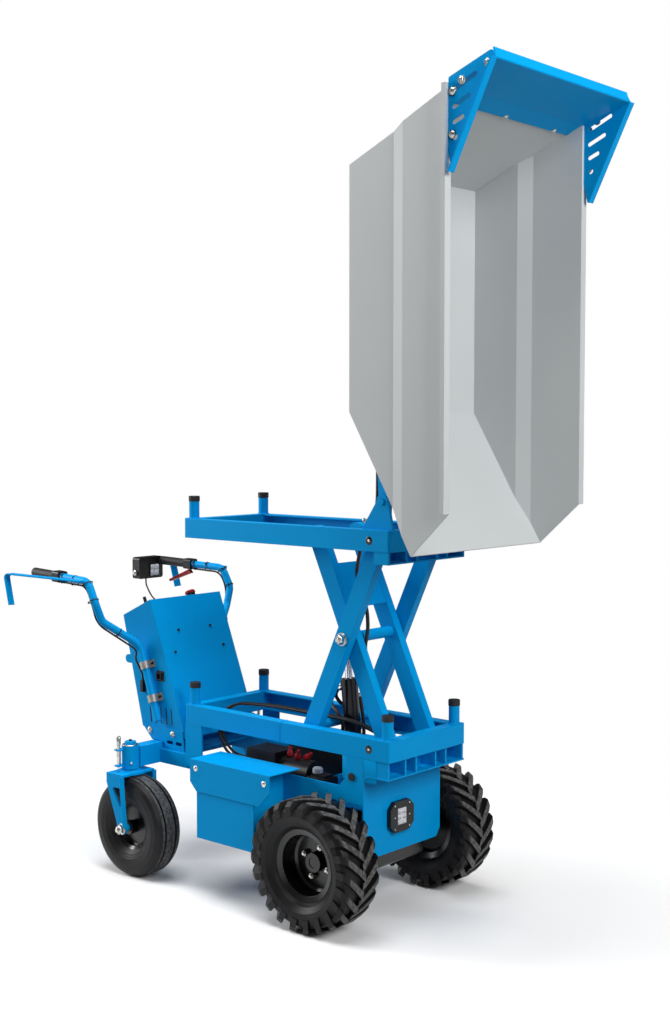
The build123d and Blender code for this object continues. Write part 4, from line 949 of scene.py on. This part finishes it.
sleeve = turned(
    [(0.0068, 0), (0.0084, 0.001), (0.0084, 0.006), (0.0076, 0.007), (0.0084, 0.008),
     (0.0084, 0.014), (0.0076, 0.015), (0.0080, 0.016), (0.0080, 0.020), (0.0068, 0.021)], 20,
)
places = [(beside_lift(0.266, BARREL_SKIN, y), lift_out) for y in (-0.007, 0.007)]
places += [(beside_lift(0.062, BARREL_SKIN, y), lift_out) for y in (-0.008, 0.008)]
places += [(beside_lift(along, 0, BARREL_SKIN), FAR) for along in (0.062, 0.236)]
copies(sleeve, places, "lift_hose_sleeves", "lift_barrel", "zinc")

tip_union = joined(
    [
        turned(
            [(0.0090, 0), (0.0090, 0.016), (0.0075, 0.017), (0.0075, 0.024), (0.0100, 0.025),
             (0.0100, 0.034), (0.0085, 0.036)], 6,
        ),
        stud(0.0062, 0.046, 0.034),
    ],
    "tip_union",
)
copies(
    tip_union, [((FRONT - 0.196, -0.022, 1.2220), (-0.75, -0.45, 0.5))],
    "tip_hose_unions", "tip_barrel", "zinc",
)

discard(
    small_dome, cover_dome, skip_dome, skip_hex, cross_bolt, pin_end, face_screw, wheel_nut,
    axle_bolt, swivel_disc, swivel_nut, nipple, lock_rod, tie, clamp_screw, socket, button,
    slot_shade, work_panel, pan_screw, bar_panel, bar_bezel, side_knob, post_weld, bore, boot,
    grey_cap, sleeve, tip_union,
)

# ------------------------------------------------------------------ floor, light, camera

bpy.ops.mesh.primitive_plane_add(size=60, location=(0, 0, 0))
floor = bpy.context.object
floor.name = "floor"
FLOOR_NEAR, FLOOR_FADE = 1.0, 1.2
g = material_graph("floor_white")
g.set(Base_Color=(0.97, 0.97, 0.97), Roughness=0.9, Specular_IOR_Level=0.0)
dull = g.node("ShaderNodeBsdfDiffuse", None, {"Color": (0.30, 0.30, 0.30)})
glow = g.node("ShaderNodeEmission", None, {"Color": (1.0, 1.0, 1.0), "Strength": 1.0})
seen = g.node("ShaderNodeLightPath", output="Is Camera Ray")
shown = (seen + seen.sibling("Is Glossy Ray") + seen.sibling("Is Transmission Ray")).clamp()
from_middle = g.node(
    "ShaderNodeVectorMath", {"operation": "LENGTH"}, {0: g.place()}, output="Value",
)
# near the machine the floor takes its shadow; farther out it fades to plain white
open_floor = g.node("ShaderNodeMixShader", None, {
    0: from_middle.above(FLOOR_NEAR, FLOOR_FADE), 1: Sock(g, g.shader.outputs[0]), 2: glow,
})
g.feed(g.end.inputs[0], g.node("ShaderNodeMixShader", None, {0: shown, 1: dull, 2: open_floor}))
paint(floor, g.owner)


def lamp(name, at, aim, size, power):
    """A square area lamp, aimed at a point."""
    light = bpy.data.lights.new(name, "AREA")
    light.shape = "SQUARE"
    light.size, light.energy = size, power
    thing = bpy.data.objects.new(name, light)
    SCENE.collection.objects.link(thing)
    facing = (Vector(aim) - Vector(at)).to_track_quat("-Z", "Y").to_matrix().to_4x4()
    thing.matrix_world = Matrix.Translation(at) @ facing


lamp("top", (0.2, -0.4, 5.4), (0, 0, 0), 3.6, 235)
lamp("ahead", (5.0, -0.8, 3.5), (0, 0, 0.8), 2.6, 205)
lamp("near_side", (-4.6, -2.4, 2.6), (0, 0, 1.1), 2.2, 215)

LIGHT_FROM_WORLD, WHITE = 0.13, 1.0
SCENE.world = bpy.data.worlds.new("studio")
g = Graph(SCENE.world, "ShaderNodeBackground", "ShaderNodeOutputWorld")
seen = g.node("ShaderNodeLightPath", output="Is Camera Ray")
direct = seen.either(seen.sibling("Is Transmission Ray"))
strength = g.node("ShaderNodeMix", None, {0: direct, 2: LIGHT_FROM_WORLD, 3: WHITE})
g.set(Color=(1.0, 1.0, 1.0), Strength=strength)

camera = bpy.data.cameras.new("camera")
camera.sensor_fit = "VERTICAL"
camera.sensor_height = 36.0
camera.lens = 49.89
camera.clip_end = 200
eye = bpy.data.objects.new("camera", camera)
SCENE.collection.objects.link(eye)
eye.location = (3.23575, -3.457, 1.539)
view_line = Vector((-0.6605, 0.7484, -0.0605))
eye.rotation_euler = view_line.to_track_quat("-Z", "Y").to_euler()
SCENE.camera = eye
SCENE.view_settings.view_transform = "Standard"
